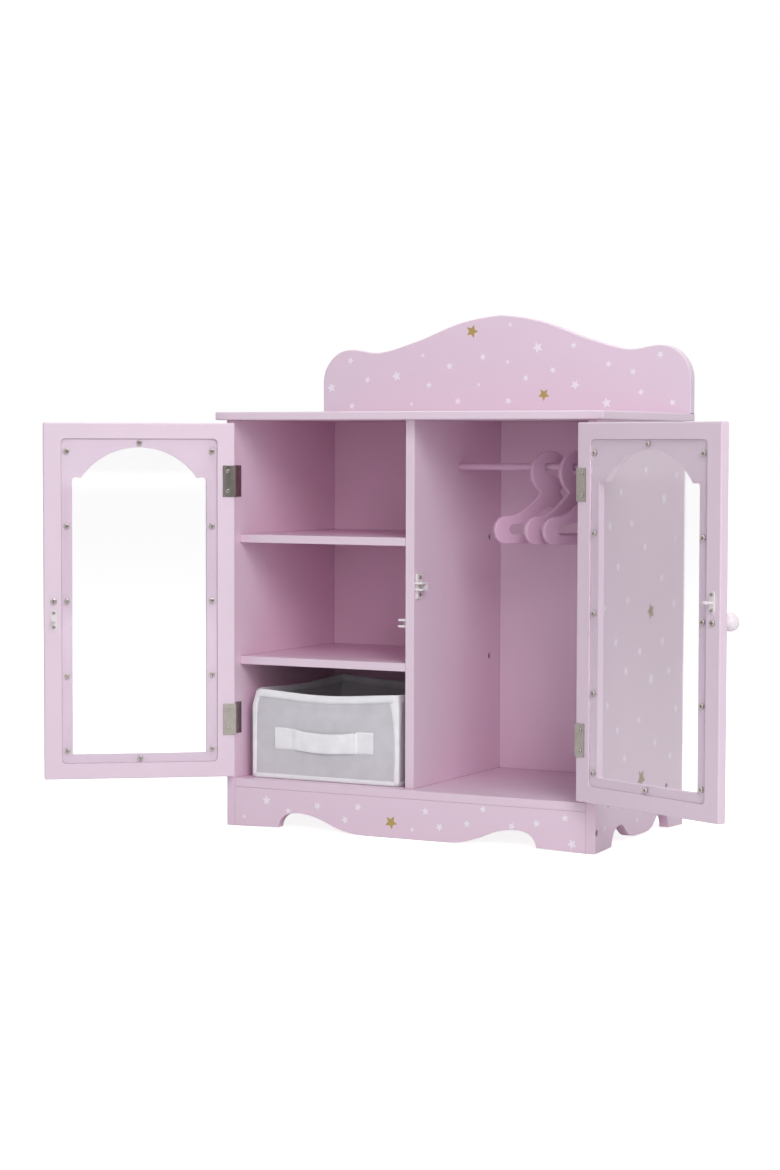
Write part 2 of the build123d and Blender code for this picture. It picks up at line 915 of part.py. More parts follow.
def door_screw_cuts(s):
    """The holes in a door for the screws of its hinge leaves."""
    return [leaf_screw_cut(x, h) for z in hinge_heights for x, h in door_screw_spots(s, z)]


def hinge_pin(s, z):
    """The headed pin through one hinge's barrels."""
    half = hinge_length / 2
    pin = rod((s * pivot_x, pivot_y, z - half), (0, 0, 1), hinge_pin_radius, hinge_length)
    for low in (z - half - hinge_pin_head, z + half):
        start = (s * pivot_x, pivot_y, low)
        pin += rod(start, (0, 0, 1), hinge_knuckle_radius - hinge_pin_head, hinge_pin_head)
    return pin


# Knob, strike and catch

def knob(s):
    """The round knob on a shut door's outer face, turned on its axis."""
    head = knob_length - knob_radius
    neck = knob_length * knob_neck_share
    with BuildSketch(Plane.XZ) as sketch:
        with BuildLine():
            Line((0, 0), (knob_base_radius, 0))
            Line((knob_base_radius, 0), (knob_base_radius, knob_base_length / 2))
            Spline(
                (knob_base_radius, knob_base_length / 2),
                (knob_stem_radius, knob_base_length + knob_base_length / 2),
                (knob_radius, (neck + knob_length) / 2),
                tangents=((-knob_base_length, knob_base_length / 2), (0, knob_base_length)),
            )
            Spline(
                (knob_radius, (neck + knob_length) / 2),
                (0, knob_length),
                tangents=((0, knob_base_length), (-knob_base_length, 0)),
            )
            Line((0, knob_length), (0, 0))
        make_face()
    body = revolve(sketch.sketch, Axis.Z)
    deep = knob_thread_length + screw_clearance
    low = (Align.CENTER, Align.CENTER, Align.MIN)
    body -= Cylinder(knob_shank_radius + screw_clearance, deep, align=low)
    plane = Plane(origin=(s * latch_x, 0, door_middle), z_dir=(0, -1, 0))
    return plane * body


def knob_screw(s):
    """The screw that holds a knob, from the inner face."""
    start = (s * latch_x, door_thickness, door_middle)
    length = door_thickness + knob_thread_length
    return screw(start, (0, -1, 0), knob_head_radius, knob_head_height, knob_shank_radius, length)


def knob_screw_cut(s):
    """The hole through a door for its knob screw."""
    start = (s * latch_x, door_thickness + cut_overrun, door_middle)
    deep = door_thickness + 2 * cut_overrun
    return rod(start, (0, -1, 0), knob_shank_radius + screw_clearance, deep)


def latch_height(s):
    """Where a door's strike sits: above the knob on the right door and below it on the left."""
    return door_middle + s * latch_pitch


def strike(s):
    """The screwed plate on a shut door's inner face, with its arrow-headed prong."""
    x = s * latch_x
    z = latch_height(s)
    face = door_thickness + strike_thickness
    half = strike_width / 2
    tall = strike_height / 2
    plate = block(x - half, x + half, door_thickness, face, z - tall, z + tall)
    plate = fillet(plate.edges().filter_by(Axis.Y), half - screw_clearance)
    neck = face + prong_length - prong_head_length
    left = x - prong_width / 2
    stem = block(left, left + prong_width, face, neck, z - prong_height / 2, z + prong_height / 2)
    blunt = prong_head_height * prong_tip_share / 2
    with BuildSketch(Plane(origin=(left, neck, z), x_dir=(0, 1, 0), z_dir=(1, 0, 0))) as sketch:
        with BuildLine():
            Polyline(
                (0, -prong_head_height / 2),
                (prong_head_length, -blunt),
                (prong_head_length, blunt),
                (0, prong_head_height / 2),
                close=True,
            )
        make_face()
    body = plate + stem + extrude(sketch.sketch, prong_width)
    for spot in strike_screw_spots(s):
        start = (spot[0], door_thickness - cut_overrun, spot[1])
        deep = strike_thickness + 2 * cut_overrun
        body -= rod(start, (0, 1, 0), leaf_shank_radius + screw_clearance, deep)
    return body


def strike_screw_spots(s):
    """The X and Z of a strike's screws."""
    z = latch_height(s)
    return [(s * latch_x, z + t * strike_screw_pitch / 2) for t in (-1, 1)]


def strike_screws(s):
    """The two screws that hold a strike."""
    y = door_thickness + strike_thickness
    return [leaf_screw((x, y, z)) for x, z in strike_screw_spots(s)]


def strike_screw_cuts(s):
    """The holes in a door for its strike's screws."""
    return [leaf_screw_cut(x, z) for x, z in strike_screw_spots(s)]


def catch(s):
    """The snap catch on one face of the divider: a plate with two arms that take the prong."""
    z = latch_height(s)
    face = s * divider_face
    front = inner_setback + catch_front_setback
    back = front + catch_arm_length
    tall = catch_height / 2
    body = block(face, face + s * catch_plate, back - catch_depth, back, z - tall, z + tall)
    arm_low = catch_arm_gap / 2
    arm_high = arm_low + catch_arm_thickness
    for t in (-1, 1):
        body += block(face, face + s * catch_arm_reach, front, back, z + t * arm_low, z + t * arm_high)
    body += block(
        face, face + s * catch_arm_reach, back - catch_plate, back, z - arm_high, z + arm_high
    )
    for y, h in catch_screw_spots(s):
        start = (face - s * cut_overrun, y, h)
        deep = catch_plate + 2 * cut_overrun
        body -= rod(start, (s, 0, 0), leaf_shank_radius + screw_clearance, deep)
    return body


def catch_screw_spots(s):
    """The Y and Z of a catch's screws."""
    y = inner_setback + catch_front_setback + catch_arm_length - catch_depth / 2
    return [(y, latch_height(s) + t * catch_screw_pitch / 2) for t in (-1, 1)]


def catch_screw_length():
    """A screw that stays inside half of the divider."""
    return catch_plate + divider_thickness / 2 - cut_overrun


def catch_screws(s):
    """The two screws of one catch."""
    x = s * (divider_face + catch_plate)
    long = catch_screw_length()
    return [
        screw((x, y, h), (-s, 0, 0), leaf_head_radius, pan_head_height, leaf_shank_radius, long)
        for y, h in catch_screw_spots(s)
    ]


def catch_screw_cuts(s):
    """The holes in the divider for one catch's screws."""
    x = s * (divider_face + catch_plate)
    deep = catch_screw_length() + screw_clearance
    return [
        rod((x, y, h), (-s, 0, 0), leaf_shank_radius + screw_clearance, deep)
        for y, h in catch_screw_spots(s)
    ]


# Fabric bin

bin_middle = -(side_face + divider_face) / 2
bin_width = side_face - divider_face - 2 * bin_side_gap
bin_back = back_face - bin_back_gap
bin_front = bin_back - bin_depth
bin_foot = bottom_top + bin_floor_gap


def bin_slab(inset, z0, z1):
    """A round-cornered slab of the bin's plan, less an inset, between two heights."""
    outline = RectangleRounded(bin_width - 2 * inset, bin_depth - 2 * inset, bin_corner)
    plane = Plane(origin=(bin_middle, bin_front + bin_depth / 2, z0))
    return extrude(plane * outline, z1 - z0)


def bin_shell():
    """The open fabric box."""
    top = bin_foot + bin_height - bin_binding
    outer = bin_slab(bin_binding, bin_foot, top)
    inner = bin_slab(bin_binding + bin_wall, bin_foot + bin_wall, top + cut_overrun)
    return outer - inner


def bin_binding_band():
    """The folded tape over the bin's rim."""
    top = bin_foot + bin_height
    low = top - bin_binding_height
    inset = 2 * bin_binding + bin_wall
    band = bin_slab(0, low, top) - bin_slab(inset, low - cut_overrun, top + cut_overrun)
    return band - bin_slab(bin_binding, low - cut_overrun, top - bin_binding)


def bin_binding_inner():
    """The tape's inner fold, which lies against the wall inside the rim."""
    top = bin_foot + bin_height
    low = top - bin_binding_height
    wall = bin_binding + bin_wall
    fold = bin_slab(wall, low, top)
    return fold - bin_slab(wall + bin_binding, low - cut_overrun, top + cut_overrun)


def bin_board():
    """The loose stiffening board in the bin's floor."""
    low = bin_foot + bin_wall
    inset = bin_binding + bin_wall + bin_board_clearance
    return bin_slab(inset, low, low + bin_board_thickness)


def bin_handle():
    """The sewn strap on the bin's front, flat at its tabs and bowed between them."""
    face = bin_front + bin_binding
    half = handle_length / 2
    flat = half - handle_tab
    with BuildSketch(Plane.XY) as sketch:
        with BuildLine():
            Line((-half, 0), (-flat, 0))
            Spline((-flat, 0), (0, -handle_bow + handle_thickness), (flat, 0))
            Line((flat, 0), (half, 0))
            Line((half, 0), (half, -handle_thickness))
            Line((half, -handle_thickness), (flat, -handle_thickness))
            Spline((flat, -handle_thickness), (0, -handle_bow), (-flat, -handle_thickness))
            Line((-flat, -handle_thickness), (-half, -handle_thickness))
            Line((-half, -handle_thickness), (-half, 0))
        make_face()
    strap = extrude(sketch.sketch, handle_height)
    low = bin_foot + handle_centre_height - handle_height / 2
    return Pos(bin_middle, face, low) * strap


def main():
    """Builds every piece and writes one file for each."""
    os.makedirs("parts", exist_ok=True)
    write("left_side_panel", side_panel(-1))
    write("right_side_panel", side_panel(1))
    write("bottom_board", bottom_board())
    write("top_board", top_board())
    write("front_apron", front_apron())
    write("back_panel", back_panel())
    write("divider", divider())
    write("lower_shelf", shelf(lower_shelf_top))
    write("upper_shelf", shelf(upper_shelf_top))
    write("crown_panel", crown_panel())
    write("hanging_rail", hanging_rail())
    write("crown_screws", crown_screws())
    places = side_screw_places(-1) + side_screw_places(1)
    write("case_screws", [sunk_screw(*p, case_screw_length) for p in places])
    places = side_shelf_screw_places(-1) + divider_shelf_screw_places()
    write("shelf_screws", [sunk_screw(*p, shelf_screw_length) for p in places])
    write("case_dowels", dowels(dowel_places()))
    write("hinge_case_screws", [p for s in (-1, 1) for z in hinge_heights for p in fixed_screws(s, z)])
    write("catch_screws", catch_screws(-1) + catch_screws(1))
    for s, side, angle in ((-1, "left", left_door_degrees), (1, "right", right_door_degrees)):
        write(side + "_catch", catch(s))
        for z, level in zip(hinge_heights, ("lower", "upper")):
            write(side + "_" + level + "_fixed_leaf", fixed_leaf(s, z))
            write(side + "_" + level + "_hinge_pin", hinge_pin(s, z))
            write(side + "_" + level + "_door_leaf", turned(door_leaf(s, z), s, angle))
        write(side + "_door_panel", turned(door_panel(s), s, angle))
        write(side + "_door_pane", turned(pane(s), s, angle))
        write(side + "_pane_screws", turned(pane_screws(s), s, angle))
        write(side + "_door_hinge_screws", turned(door_hinge_screws(s), s, angle))
        write(side + "_door_knob", turned(knob(s), s, angle))
        write(side + "_knob_screw", turned(knob_screw(s), s, angle))
        write(side + "_door_strike", turned(strike(s), s, angle))
        write(side + "_strike_screws", turned(strike_screws(s), s, angle))
    for i, (place, yaw) in enumerate(zip(hanger_places, hanger_yaw_degrees)):
        write("hanger_" + str(i + 1), hanger(place, yaw))
    write("bin_shell", bin_shell())
    write("bin_binding", bin_binding_band() + bin_binding_inner())
    write("bin_board", bin_board())
    write("bin_handle", bin_handle())


main()
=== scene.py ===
"""Doll closet: satin paint, printed stars, clear panes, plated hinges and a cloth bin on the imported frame.

Lengths are in metres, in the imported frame: X to the right, Y to the back and Z up.
"""

import json
import math
import random

import bmesh
import bpy
from mathutils import Matrix, Vector, noise


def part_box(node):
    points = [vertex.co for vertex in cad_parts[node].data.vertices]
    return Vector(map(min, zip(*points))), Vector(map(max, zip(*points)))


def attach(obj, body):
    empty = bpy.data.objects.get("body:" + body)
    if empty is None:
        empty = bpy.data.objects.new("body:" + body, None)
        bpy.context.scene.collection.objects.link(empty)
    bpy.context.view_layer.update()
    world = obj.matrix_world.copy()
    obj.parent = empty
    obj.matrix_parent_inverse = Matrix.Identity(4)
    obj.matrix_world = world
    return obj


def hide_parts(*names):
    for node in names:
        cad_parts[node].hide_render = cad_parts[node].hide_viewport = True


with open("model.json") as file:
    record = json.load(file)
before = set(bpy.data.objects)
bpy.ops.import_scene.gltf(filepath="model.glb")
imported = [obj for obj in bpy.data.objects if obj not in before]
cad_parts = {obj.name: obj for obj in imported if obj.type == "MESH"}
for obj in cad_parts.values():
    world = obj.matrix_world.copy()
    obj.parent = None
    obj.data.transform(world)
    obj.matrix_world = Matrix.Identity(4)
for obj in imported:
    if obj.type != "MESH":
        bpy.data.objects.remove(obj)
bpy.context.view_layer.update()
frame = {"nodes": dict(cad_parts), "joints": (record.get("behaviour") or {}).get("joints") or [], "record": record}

MM = 0.001

# Camera, fitted to the photograph
camera_azimuth = math.radians(27.74)
camera_elevation = math.radians(3.08)
camera_roll = math.radians(0.14)
camera_distance = 2.962
camera_target = Vector((-0.0843, 0.1263, 0.2684))
camera_lens = 79.98
camera_sensor = 36.0
camera_near = 0.05

# Light: places, sizes in metres and watts
key_place = (2.4, -2.35, 2.35)
key_size = (1.8, 1.8)
key_power = 68
front_place = (1.5, -3.0, 1.1)
front_size = (1.6, 1.6)
front_power = 21
top_place = (0, 0.3, 2.6)
top_size = (2.0, 2.0)
top_power = 32
lamp_aim = (0, 0.1, 0.25)
top_aim = (0, 0.1, 0.3)
room_light = 0.26

# The way from the closet to the unlit end of the studio, which metal shows, and how dim it is
dim_side = (0.70, -0.71, -0.05)
dim_edges = (0.35, 0.9)
dim_level = 0.18

# Floor
floor_colour = (0.86, 0.86, 0.87, 1)
floor_glow = 0.86
floor_reach = 30
floor_drop = 0.2 * MM

# Colours, as they look in plain light, and colours of painted shade
paint_colour = (0.76, 0.618, 0.724, 1)
# Painted shade: a deeper, pinker tone laid on the paint inside the case, where boards close in
nook_shade_colour = (0.83, 0.525, 0.695, 1)
# Painted shade: dark lines in the narrow gaps between boards and at the edges of the doors' recesses
gap_shade_colour = (0.16, 0.10, 0.13, 1)
# Painted shade: the hangers and rail in a darker, pinker copy of the paint
hanger_shade_colour = (0.63, 0.40, 0.55, 1)
knob_colour = (0.84, 0.76, 0.81, 1)
star_white = (0.88, 0.81, 0.90, 1)
star_gold = (0.52, 0.38, 0.13, 1)
star_old_gold = (0.36, 0.29, 0.17, 1)
hinge_colour = (0.50, 0.46, 0.42, 1)
screw_colour = (0.66, 0.61, 0.56, 1)
# Painted shade: dark rims and recesses on the screws and hinges
metal_shade_colour = (0.03, 0.025, 0.02, 1)
plastic_colour = (0.80, 0.765, 0.77, 1)
bare_wood_colour = (0.62, 0.46, 0.29, 1)
cloth_colour = (0.60, 0.585, 0.625, 1)
tape_colour = (0.86, 0.86, 0.88, 1)
board_colour = (0.40, 0.38, 0.40, 1)
pane_colour = (0.92, 0.91, 0.92, 1)
pane_shade = (0.97, 0.96, 0.975, 1)


# Node helpers

def node(tree, kind, inputs=None, **settings):
    """Adds one node, sets its properties and fills or links its inputs."""
    made = tree.nodes.new(kind)
    for name, value in settings.items():
        setattr(made, name, value)
    for name, value in (inputs or {}).items():
        if isinstance(value, bpy.types.NodeSocket):
            tree.links.new(value, made.inputs[name])
        else:
            made.inputs[name].default_value = value
    return made


def new_group(name, kind, inputs, outputs):
    """An empty node group with named sockets, and its input and output nodes."""
    tree = bpy.data.node_groups.new(name, kind)
    for direction, sockets in (("INPUT", inputs), ("OUTPUT", outputs)):
        for label, socket_type, default in sockets:
            socket = tree.interface.new_socket(name=label, in_out=direction, socket_type=socket_type)
            if default is not None:
                socket.default_value = default
    entry = tree.nodes.new("NodeGroupInput")
    way_out = tree.nodes.new("NodeGroupOutput")
    return tree, entry.outputs, way_out


def close_group(tree, way_out, **results):
    """Links a group's results to its outputs."""
    for label, socket in results.items():
        tree.links.new(socket, way_out.inputs[label.replace("_", " ")])


def use(tree, group, **inputs):
    """Places a node group in a material."""
    made = node(tree, "ShaderNodeGroup", node_tree=group)
    for label, value in inputs.items():
        label = label.replace("_", " ")
        if isinstance(value, bpy.types.NodeSocket):
            tree.links.new(value, made.inputs[label])
        else:
            made.inputs[label].default_value = value
    return made.outputs


# Shared surface effects

def make_mottle():
    """A colour that drifts a little lighter and darker over the surface."""
    tree, given, way_out = new_group(
        "mottle",
        "ShaderNodeTree",
        [
            ("Vector", "NodeSocketVector", None),
            ("Colour", "NodeSocketColor", (0.5, 0.5, 0.5, 1)),
            ("Scale", "NodeSocketFloat", 10.0),
            ("Amount", "NodeSocketFloat", 0.05),
        ],
        [("Colour", "NodeSocketColor", None)],
    )
    cloud = node(
        tree, "ShaderNodeTexNoise", {"Vector": given["Vector"], "Scale": given["Scale"], "Detail": 3.0}
    )
    centred = node(tree, "ShaderNodeMath", {0: cloud.outputs["Fac"], 1: 0.5}, operation="SUBTRACT")
    drift = node(tree, "ShaderNodeMath", {0: centred.outputs[0], 1: given["Amount"]}, operation="MULTIPLY")
    gain = node(tree, "ShaderNodeMath", {0: drift.outputs[0], 1: 1.0}, operation="ADD")
    tinted = node(
        tree, "ShaderNodeHueSaturation", {"Color": given["Colour"], "Value": gain.outputs[0]}
    )
    close_group(tree, way_out, Colour=tinted.outputs["Color"])
    return tree


def make_grain():
    """A fine grain: a height for bump, and a roughness between two values."""
    tree, given, way_out = new_group(
        "grain",
        "ShaderNodeTree",
        [
            ("Vector", "NodeSocketVector", None),
            ("Scale", "NodeSocketFloat", 500.0),
            ("Smooth", "NodeSocketFloat", 0.35),
            ("Rough", "NodeSocketFloat", 0.5),
        ],
        [("Height", "NodeSocketFloat", None), ("Roughness", "NodeSocketFloat", None)],
    )
    fine = node(
        tree, "ShaderNodeTexNoise", {"Vector": given["Vector"], "Scale": given["Scale"], "Detail": 2.0}
    )
    broad = node(tree, "ShaderNodeTexNoise", {"Vector": given["Vector"], "Scale": 24.0, "Detail": 4.0})
    level = node(
        tree,
        "ShaderNodeMapRange",
        {"Value": broad.outputs["Fac"], "From Min": 0.3, "From Max": 0.7,
         "To Min": given["Smooth"], "To Max": given["Rough"]},
    )
    close_group(tree, way_out, Height=fine.outputs["Fac"], Roughness=level.outputs["Result"])
    return tree


def make_spunbond():
    """Non-woven cloth: a grid of small pressed dots over matted fibres."""
    tree, given, way_out = new_group(
        "spunbond",
        "ShaderNodeTree",
        [
            ("Vector", "NodeSocketVector", None),
            ("Colour", "NodeSocketColor", (0.5, 0.5, 0.5, 1)),
            ("Dots", "NodeSocketFloat", 900.0),
        ],
        [("Colour", "NodeSocketColor", None), ("Height", "NodeSocketFloat", None)],
    )
    dots = node(
        tree,
        "ShaderNodeTexVoronoi",
        {"Vector": given["Vector"], "Scale": given["Dots"], "Randomness": 0.15},
    )
    pressed = node(
        tree,
        "ShaderNodeMapRange",
        {"Value": dots.outputs["Distance"], "From Min": 0.15, "From Max": 0.45},
        interpolation_type="SMOOTHSTEP",
    )
    fibres = node(
        tree, "ShaderNodeTexNoise",
        {"Vector": given["Vector"], "Scale": 1500.0, "Detail": 3.0, "Distortion": 1.2},
    )
    matted = node(
        tree, "ShaderNodeMath",
        {0: fibres.outputs["Fac"], 1: 0.35, 2: pressed.outputs["Result"]}, operation="MULTIPLY_ADD",
    )
    cloud = node(tree, "ShaderNodeTexNoise", {"Vector": given["Vector"], "Scale": 60.0, "Detail": 5.0})
    gain = node(
        tree, "ShaderNodeMapRange",
        {"Value": cloud.outputs["Fac"], "From Min": 0.25, "From Max": 0.75, "To Min": 0.94, "To Max": 1.05},
    )
    tinted = node(
        tree, "ShaderNodeHueSaturation", {"Color": given["Colour"], "Value": gain.outputs["Result"]}
    )
    shade = node(
        tree, "ShaderNodeMapRange",
        {"Value": matted.outputs[0], "From Min": 0.0, "From Max": 1.2, "To Min": 0.9, "To Max": 1.04},
    )
    deep = node(
        tree, "ShaderNodeHueSaturation",
        {"Color": tinted.outputs["Color"], "Value": shade.outputs["Result"]},
    )
    close_group(tree, way_out, Colour=deep.outputs["Color"], Height=matted.outputs[0])
    return tree


def make_crevice_shade(name, own_shape_only):
    """Paints shade into a colour: darker where other surfaces, or only the piece's own, come close."""
    tree, given, way_out = new_group(
        name,
        "ShaderNodeTree",
        [
            ("Colour", "NodeSocketColor", (0.5, 0.5, 0.5, 1)),
            ("Deep Colour", "NodeSocketColor", (0.1, 0.1, 0.1, 1)),
            ("Reach", "NodeSocketFloat", 1.0 * MM),
            ("Closed", "NodeSocketFloat", 0.2),
            ("Open", "NodeSocketFloat", 0.9),
        ],
        [("Colour", "NodeSocketColor", None)],
    )
    openness = node(
        tree, "ShaderNodeAmbientOcclusion", {"Distance": given["Reach"]},
        samples=4, only_local=own_shape_only,
    )
    level = node(
        tree, "ShaderNodeMapRange",
        {"Value": openness.outputs["AO"], "From Min": given["Closed"], "From Max": given["Open"]},
    )
    mixed = node(
        tree, "ShaderNodeMix",
        {"Factor": level.outputs["Result"], "A": given["Deep Colour"], "B": given["Colour"]},
        data_type="RGBA",
    )
    close_group(tree, way_out, Colour=mixed.outputs["Result"])
    return tree


mottle = make_mottle()
grain = make_grain()
spunbond = make_spunbond()
# Painted shade, where surfaces close in
crevice_shade = make_crevice_shade("crevice_shade", False)
own_crevice_shade = make_crevice_shade("own_crevice_shade", True)


# Materials

def new_material(name, **sockets):
    """A material with its shader, and the Object coordinates that its patterns read."""
    material = bpy.data.materials.new(name)
    material.use_nodes = True
    tree = material.node_tree
    shader = tree.nodes["Principled BSDF"]
    for label, value in sockets.items():
        shader.inputs[label.replace("_", " ")].default_value = value
    where = node(tree, "ShaderNodeTexCoord").outputs["Object"]
    return material, tree, shader, where


def dress(tree, shader, colour=None, roughness=None, height=None, strength=0.1, depth=0.1 * MM, edge=0.0):
    """Feeds a shader its patterns, with a bump over softened edges."""
    if colour is not None:
        tree.links.new(colour, shader.inputs["Base Color"])
    if roughness is not None:
        tree.links.new(roughness, shader.inputs["Roughness"])
    bump = node(tree, "ShaderNodeBump", {"Strength": strength, "Distance": depth, "Height": height})
    if edge:
        soft = node(tree, "ShaderNodeBevel", {"Radius": edge}, samples=4)
        tree.links.new(soft.outputs["Normal"], bump.inputs["Normal"])
    tree.links.new(bump.outputs["Normal"], shader.inputs["Normal"])


def satin_paint(name, colour, smooth, rough, edge, nook_shade=None):
    """Sprayed satin lacquer with a faint orange peel, and painted shade: a deeper tone where boards close in on
    it, and dark lines in narrow gaps.
    """
    material, tree, shader, where = new_material(name, Specular_IOR_Level=0.5)
    tone = use(tree, mottle, Vector=where, Colour=colour, Scale=7.0, Amount=0.06)["Colour"]
    if nook_shade is not None:
        # Painted shade inside the case, where boards close in
        tone = use(tree, crevice_shade, Colour=tone, Deep_Colour=nook_shade, Reach=0.25, Closed=0.12, Open=0.42)["Colour"]
        gap_shade, reach, closed, clear = crevice_shade, 1.5 * MM, 0.3, 0.7
    else:
        gap_shade, reach, closed, clear = own_crevice_shade, 2.0 * MM, 0.3, 0.72
    # Painted shade: dark lines in the gaps between boards, or at the edges of the piece's own recesses
    gap_shaded = use(tree, gap_shade, Colour=tone, Deep_Colour=gap_shade_colour, Reach=reach, Closed=closed, Open=clear)
    tone = gap_shaded["Colour"]
    peel = use(tree, grain, Vector=where, Scale=420.0, Smooth=smooth, Rough=rough)
    dress(
        tree, shader, tone, peel["Roughness"], peel["Height"], strength=0.12, depth=0.06 * MM, edge=edge
    )
    return material


def plated_steel(name, colour, smooth, rough, reach, open_share):
    """Nickel-plated pressed steel with fine rolling lines and dull spots, and painted shade on its rims and in its
    recesses.
    """
    material, tree, shader, where = new_material(name, Metallic=1.0)
    lines = node(tree, "ShaderNodeMapping", {"Vector": where, "Scale": (4.0, 4.0, 0.3)})
    tone = use(tree, mottle, Vector=where, Colour=colour, Scale=160.0, Amount=0.35)["Colour"]
    # Painted shade on the rims and in the recesses
    metal_shaded = use(
        tree, crevice_shade, Colour=tone, Deep_Colour=metal_shade_colour, Reach=reach, Closed=0.3, Open=open_share
    )
    brushed = use(tree, grain, Vector=lines.outputs["Vector"], Scale=600.0, Smooth=smooth, Rough=rough)
    dress(
        tree, shader, metal_shaded["Colour"], brushed["Roughness"], brushed["Height"],
        strength=0.2, depth=0.05 * MM, edge=0.25 * MM,
    )
    return material


def moulded_plastic():
    """White moulded plastic with a soft, slightly milky surface."""
    material, tree, shader, where = new_material(
        "white_moulded_plastic", Subsurface_Weight=0.15, Subsurface_Scale=1.5 * MM
    )
    tone = use(tree, mottle, Vector=where, Colour=plastic_colour, Scale=90.0, Amount=0.04)["Colour"]
    skin = use(tree, grain, Vector=where, Scale=1200.0, Smooth=0.3, Rough=0.42)
    dress(
        tree, shader, tone, skin["Roughness"], skin["Height"], strength=0.1, depth=0.04 * MM, edge=0.3 * MM
    )
    return material


def bare_dowel_wood():
    """Unpainted beech with its grain along the dowel."""
    material, tree, shader, where = new_material("bare_beech")
    along = node(tree, "ShaderNodeMapping", {"Vector": where, "Scale": (6.0, 6.0, 0.5)})
    tone = use(tree, mottle, Vector=along.outputs["Vector"], Colour=bare_wood_colour, Scale=60.0, Amount=0.5)
    pores = use(tree, grain, Vector=along.outputs["Vector"], Scale=500.0, Smooth=0.55, Rough=0.7)
    dress(tree, shader, tone["Colour"], pores["Roughness"], pores["Height"], strength=0.3, depth=0.1 * MM)
    return material


def clear_sheet():
    """The panes' clear plastic, which lets light through to what is behind."""
    material, tree, shader, where = new_material(
        "clear_pane", Base_Color=pane_colour, Transmission_Weight=1.0, IOR=1.46
    )
    skin = use(tree, grain, Vector=where, Scale=900.0, Smooth=0.02, Rough=0.05)
    dress(tree, shader, None, skin["Roughness"], skin["Height"], strength=0.02, depth=0.01 * MM)
    through = node(tree, "ShaderNodeBsdfTransparent", {"Color": pane_shade})
    path = node(tree, "ShaderNodeLightPath")
    passing = node(
        tree, "ShaderNodeMath",
        {0: path.outputs["Is Shadow Ray"], 1: path.outputs["Is Diffuse Ray"]}, operation="MAXIMUM",
    )
    both = node(
        tree, "ShaderNodeMixShader",
        {0: passing.outputs[0], 1: shader.outputs["BSDF"], 2: through.outputs["BSDF"]},
    )
    tree.links.new(both.outputs["Shader"], tree.nodes["Material Output"].inputs["Surface"])
    return material


def printed_ink(name, colour, metallic, smooth, rough):
    """The ink or foil of the printed stars."""
    material, tree, shader, where = new_material(name, Metallic=metallic)
    tone = use(tree, mottle, Vector=where, Colour=colour, Scale=220.0, Amount=0.12)["Colour"]
    skin = use(tree, grain, Vector=where, Scale=700.0, Smooth=smooth, Rough=rough)
    dress(tree, shader, tone, skin["Roughness"], skin["Height"], strength=0.1, depth=0.04 * MM)
    return material


def spunbond_cloth(name, colour, dots, strength):
    """Non-woven cloth, for the bin's walls and its tapes."""
    material, tree, shader, where = new_material(
        name, Roughness=0.85, Sheen_Weight=0.25, Sheen_Roughness=0.5, Specular_IOR_Level=0.25
    )
    web = use(tree, spunbond, Vector=where, Colour=colour, Dots=dots)
    dress(tree, shader, web["Colour"], None, web["Height"], strength=strength, depth=0.15 * MM)
    return material


paint = satin_paint(
    "lilac_satin_paint", paint_colour, smooth=0.34, rough=0.44, edge=0.8 * MM, nook_shade=nook_shade_colour
)
door_paint = satin_paint("lilac_door_paint", paint_colour, smooth=0.34, rough=0.44, edge=0.8 * MM)
# Painted shade: a darker, pinker copy of the paint for the hangers and the rail
shaded_hanger_paint = satin_paint("shaded_lilac_hanger_paint", hanger_shade_colour, smooth=0.3, rough=0.4, edge=0.5 * MM)
knob_paint = satin_paint("pale_knob_lacquer", knob_colour, smooth=0.22, rough=0.3, edge=0.0)
hinge_steel = plated_steel(
    "nickel_hinge", hinge_colour, smooth=0.14, rough=0.26, reach=0.9 * MM, open_share=0.9
)
screw_steel = plated_steel(
    "nickel_screw", screw_colour, smooth=0.2, rough=0.32, reach=2.5 * MM, open_share=0.92
)
plastic = moulded_plastic()
beech = bare_dowel_wood()
pane_plastic = clear_sheet()
white_ink = printed_ink("white_star_ink", star_white, metallic=0.0, smooth=0.35, rough=0.45)
gold_foil = printed_ink("gold_star_foil", star_gold, metallic=0.75, smooth=0.3, rough=0.45)
old_gold_foil = printed_ink("old_gold_star_foil", star_old_gold, metallic=0.5, smooth=0.35, rough=0.5)
grey_cloth = spunbond_cloth("grey_spunbond", cloth_colour, dots=700.0, strength=0.5)
white_tape = spunbond_cloth("white_binding_tape", tape_colour, dots=900.0, strength=0.4)
board_cloth = spunbond_cloth("covered_board", board_colour, dots=700.0, strength=0.5)
thread = spunbond_cloth("white_thread", tape_colour, dots=2500.0, strength=0.3)

finishes = {
    "painted_wood": paint,
    "bare_wood": beech,
    "screw_steel": screw_steel,
    "hinge_steel": hinge_steel,
    "white_plastic": plastic,
    "clear_sheet": pane_plastic,
    "grey_fabric": grey_cloth,
    "white_tape": white_tape,
    "board_insert": board_cloth,
}


def dress_frame():
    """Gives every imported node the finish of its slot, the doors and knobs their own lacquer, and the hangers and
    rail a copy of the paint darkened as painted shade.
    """
    slots = {s["node"]: s["material_slot"] for s in frame["record"]["subparts"]}
    for name, obj in frame["nodes"].items():
        finish = finishes[slots[name]]
        if name.endswith("door_knob"):
            finish = knob_paint
        elif name.endswith("door_panel"):
            finish = door_paint
        # The hangers and rail: the paint darkened as painted shade
        elif name.startswith("hanger") or name == "hanging_rail":
            finish = shaded_hanger_paint
        for place in obj.material_slots:
            place.material = finish


dress_frame()


# Mesh helpers

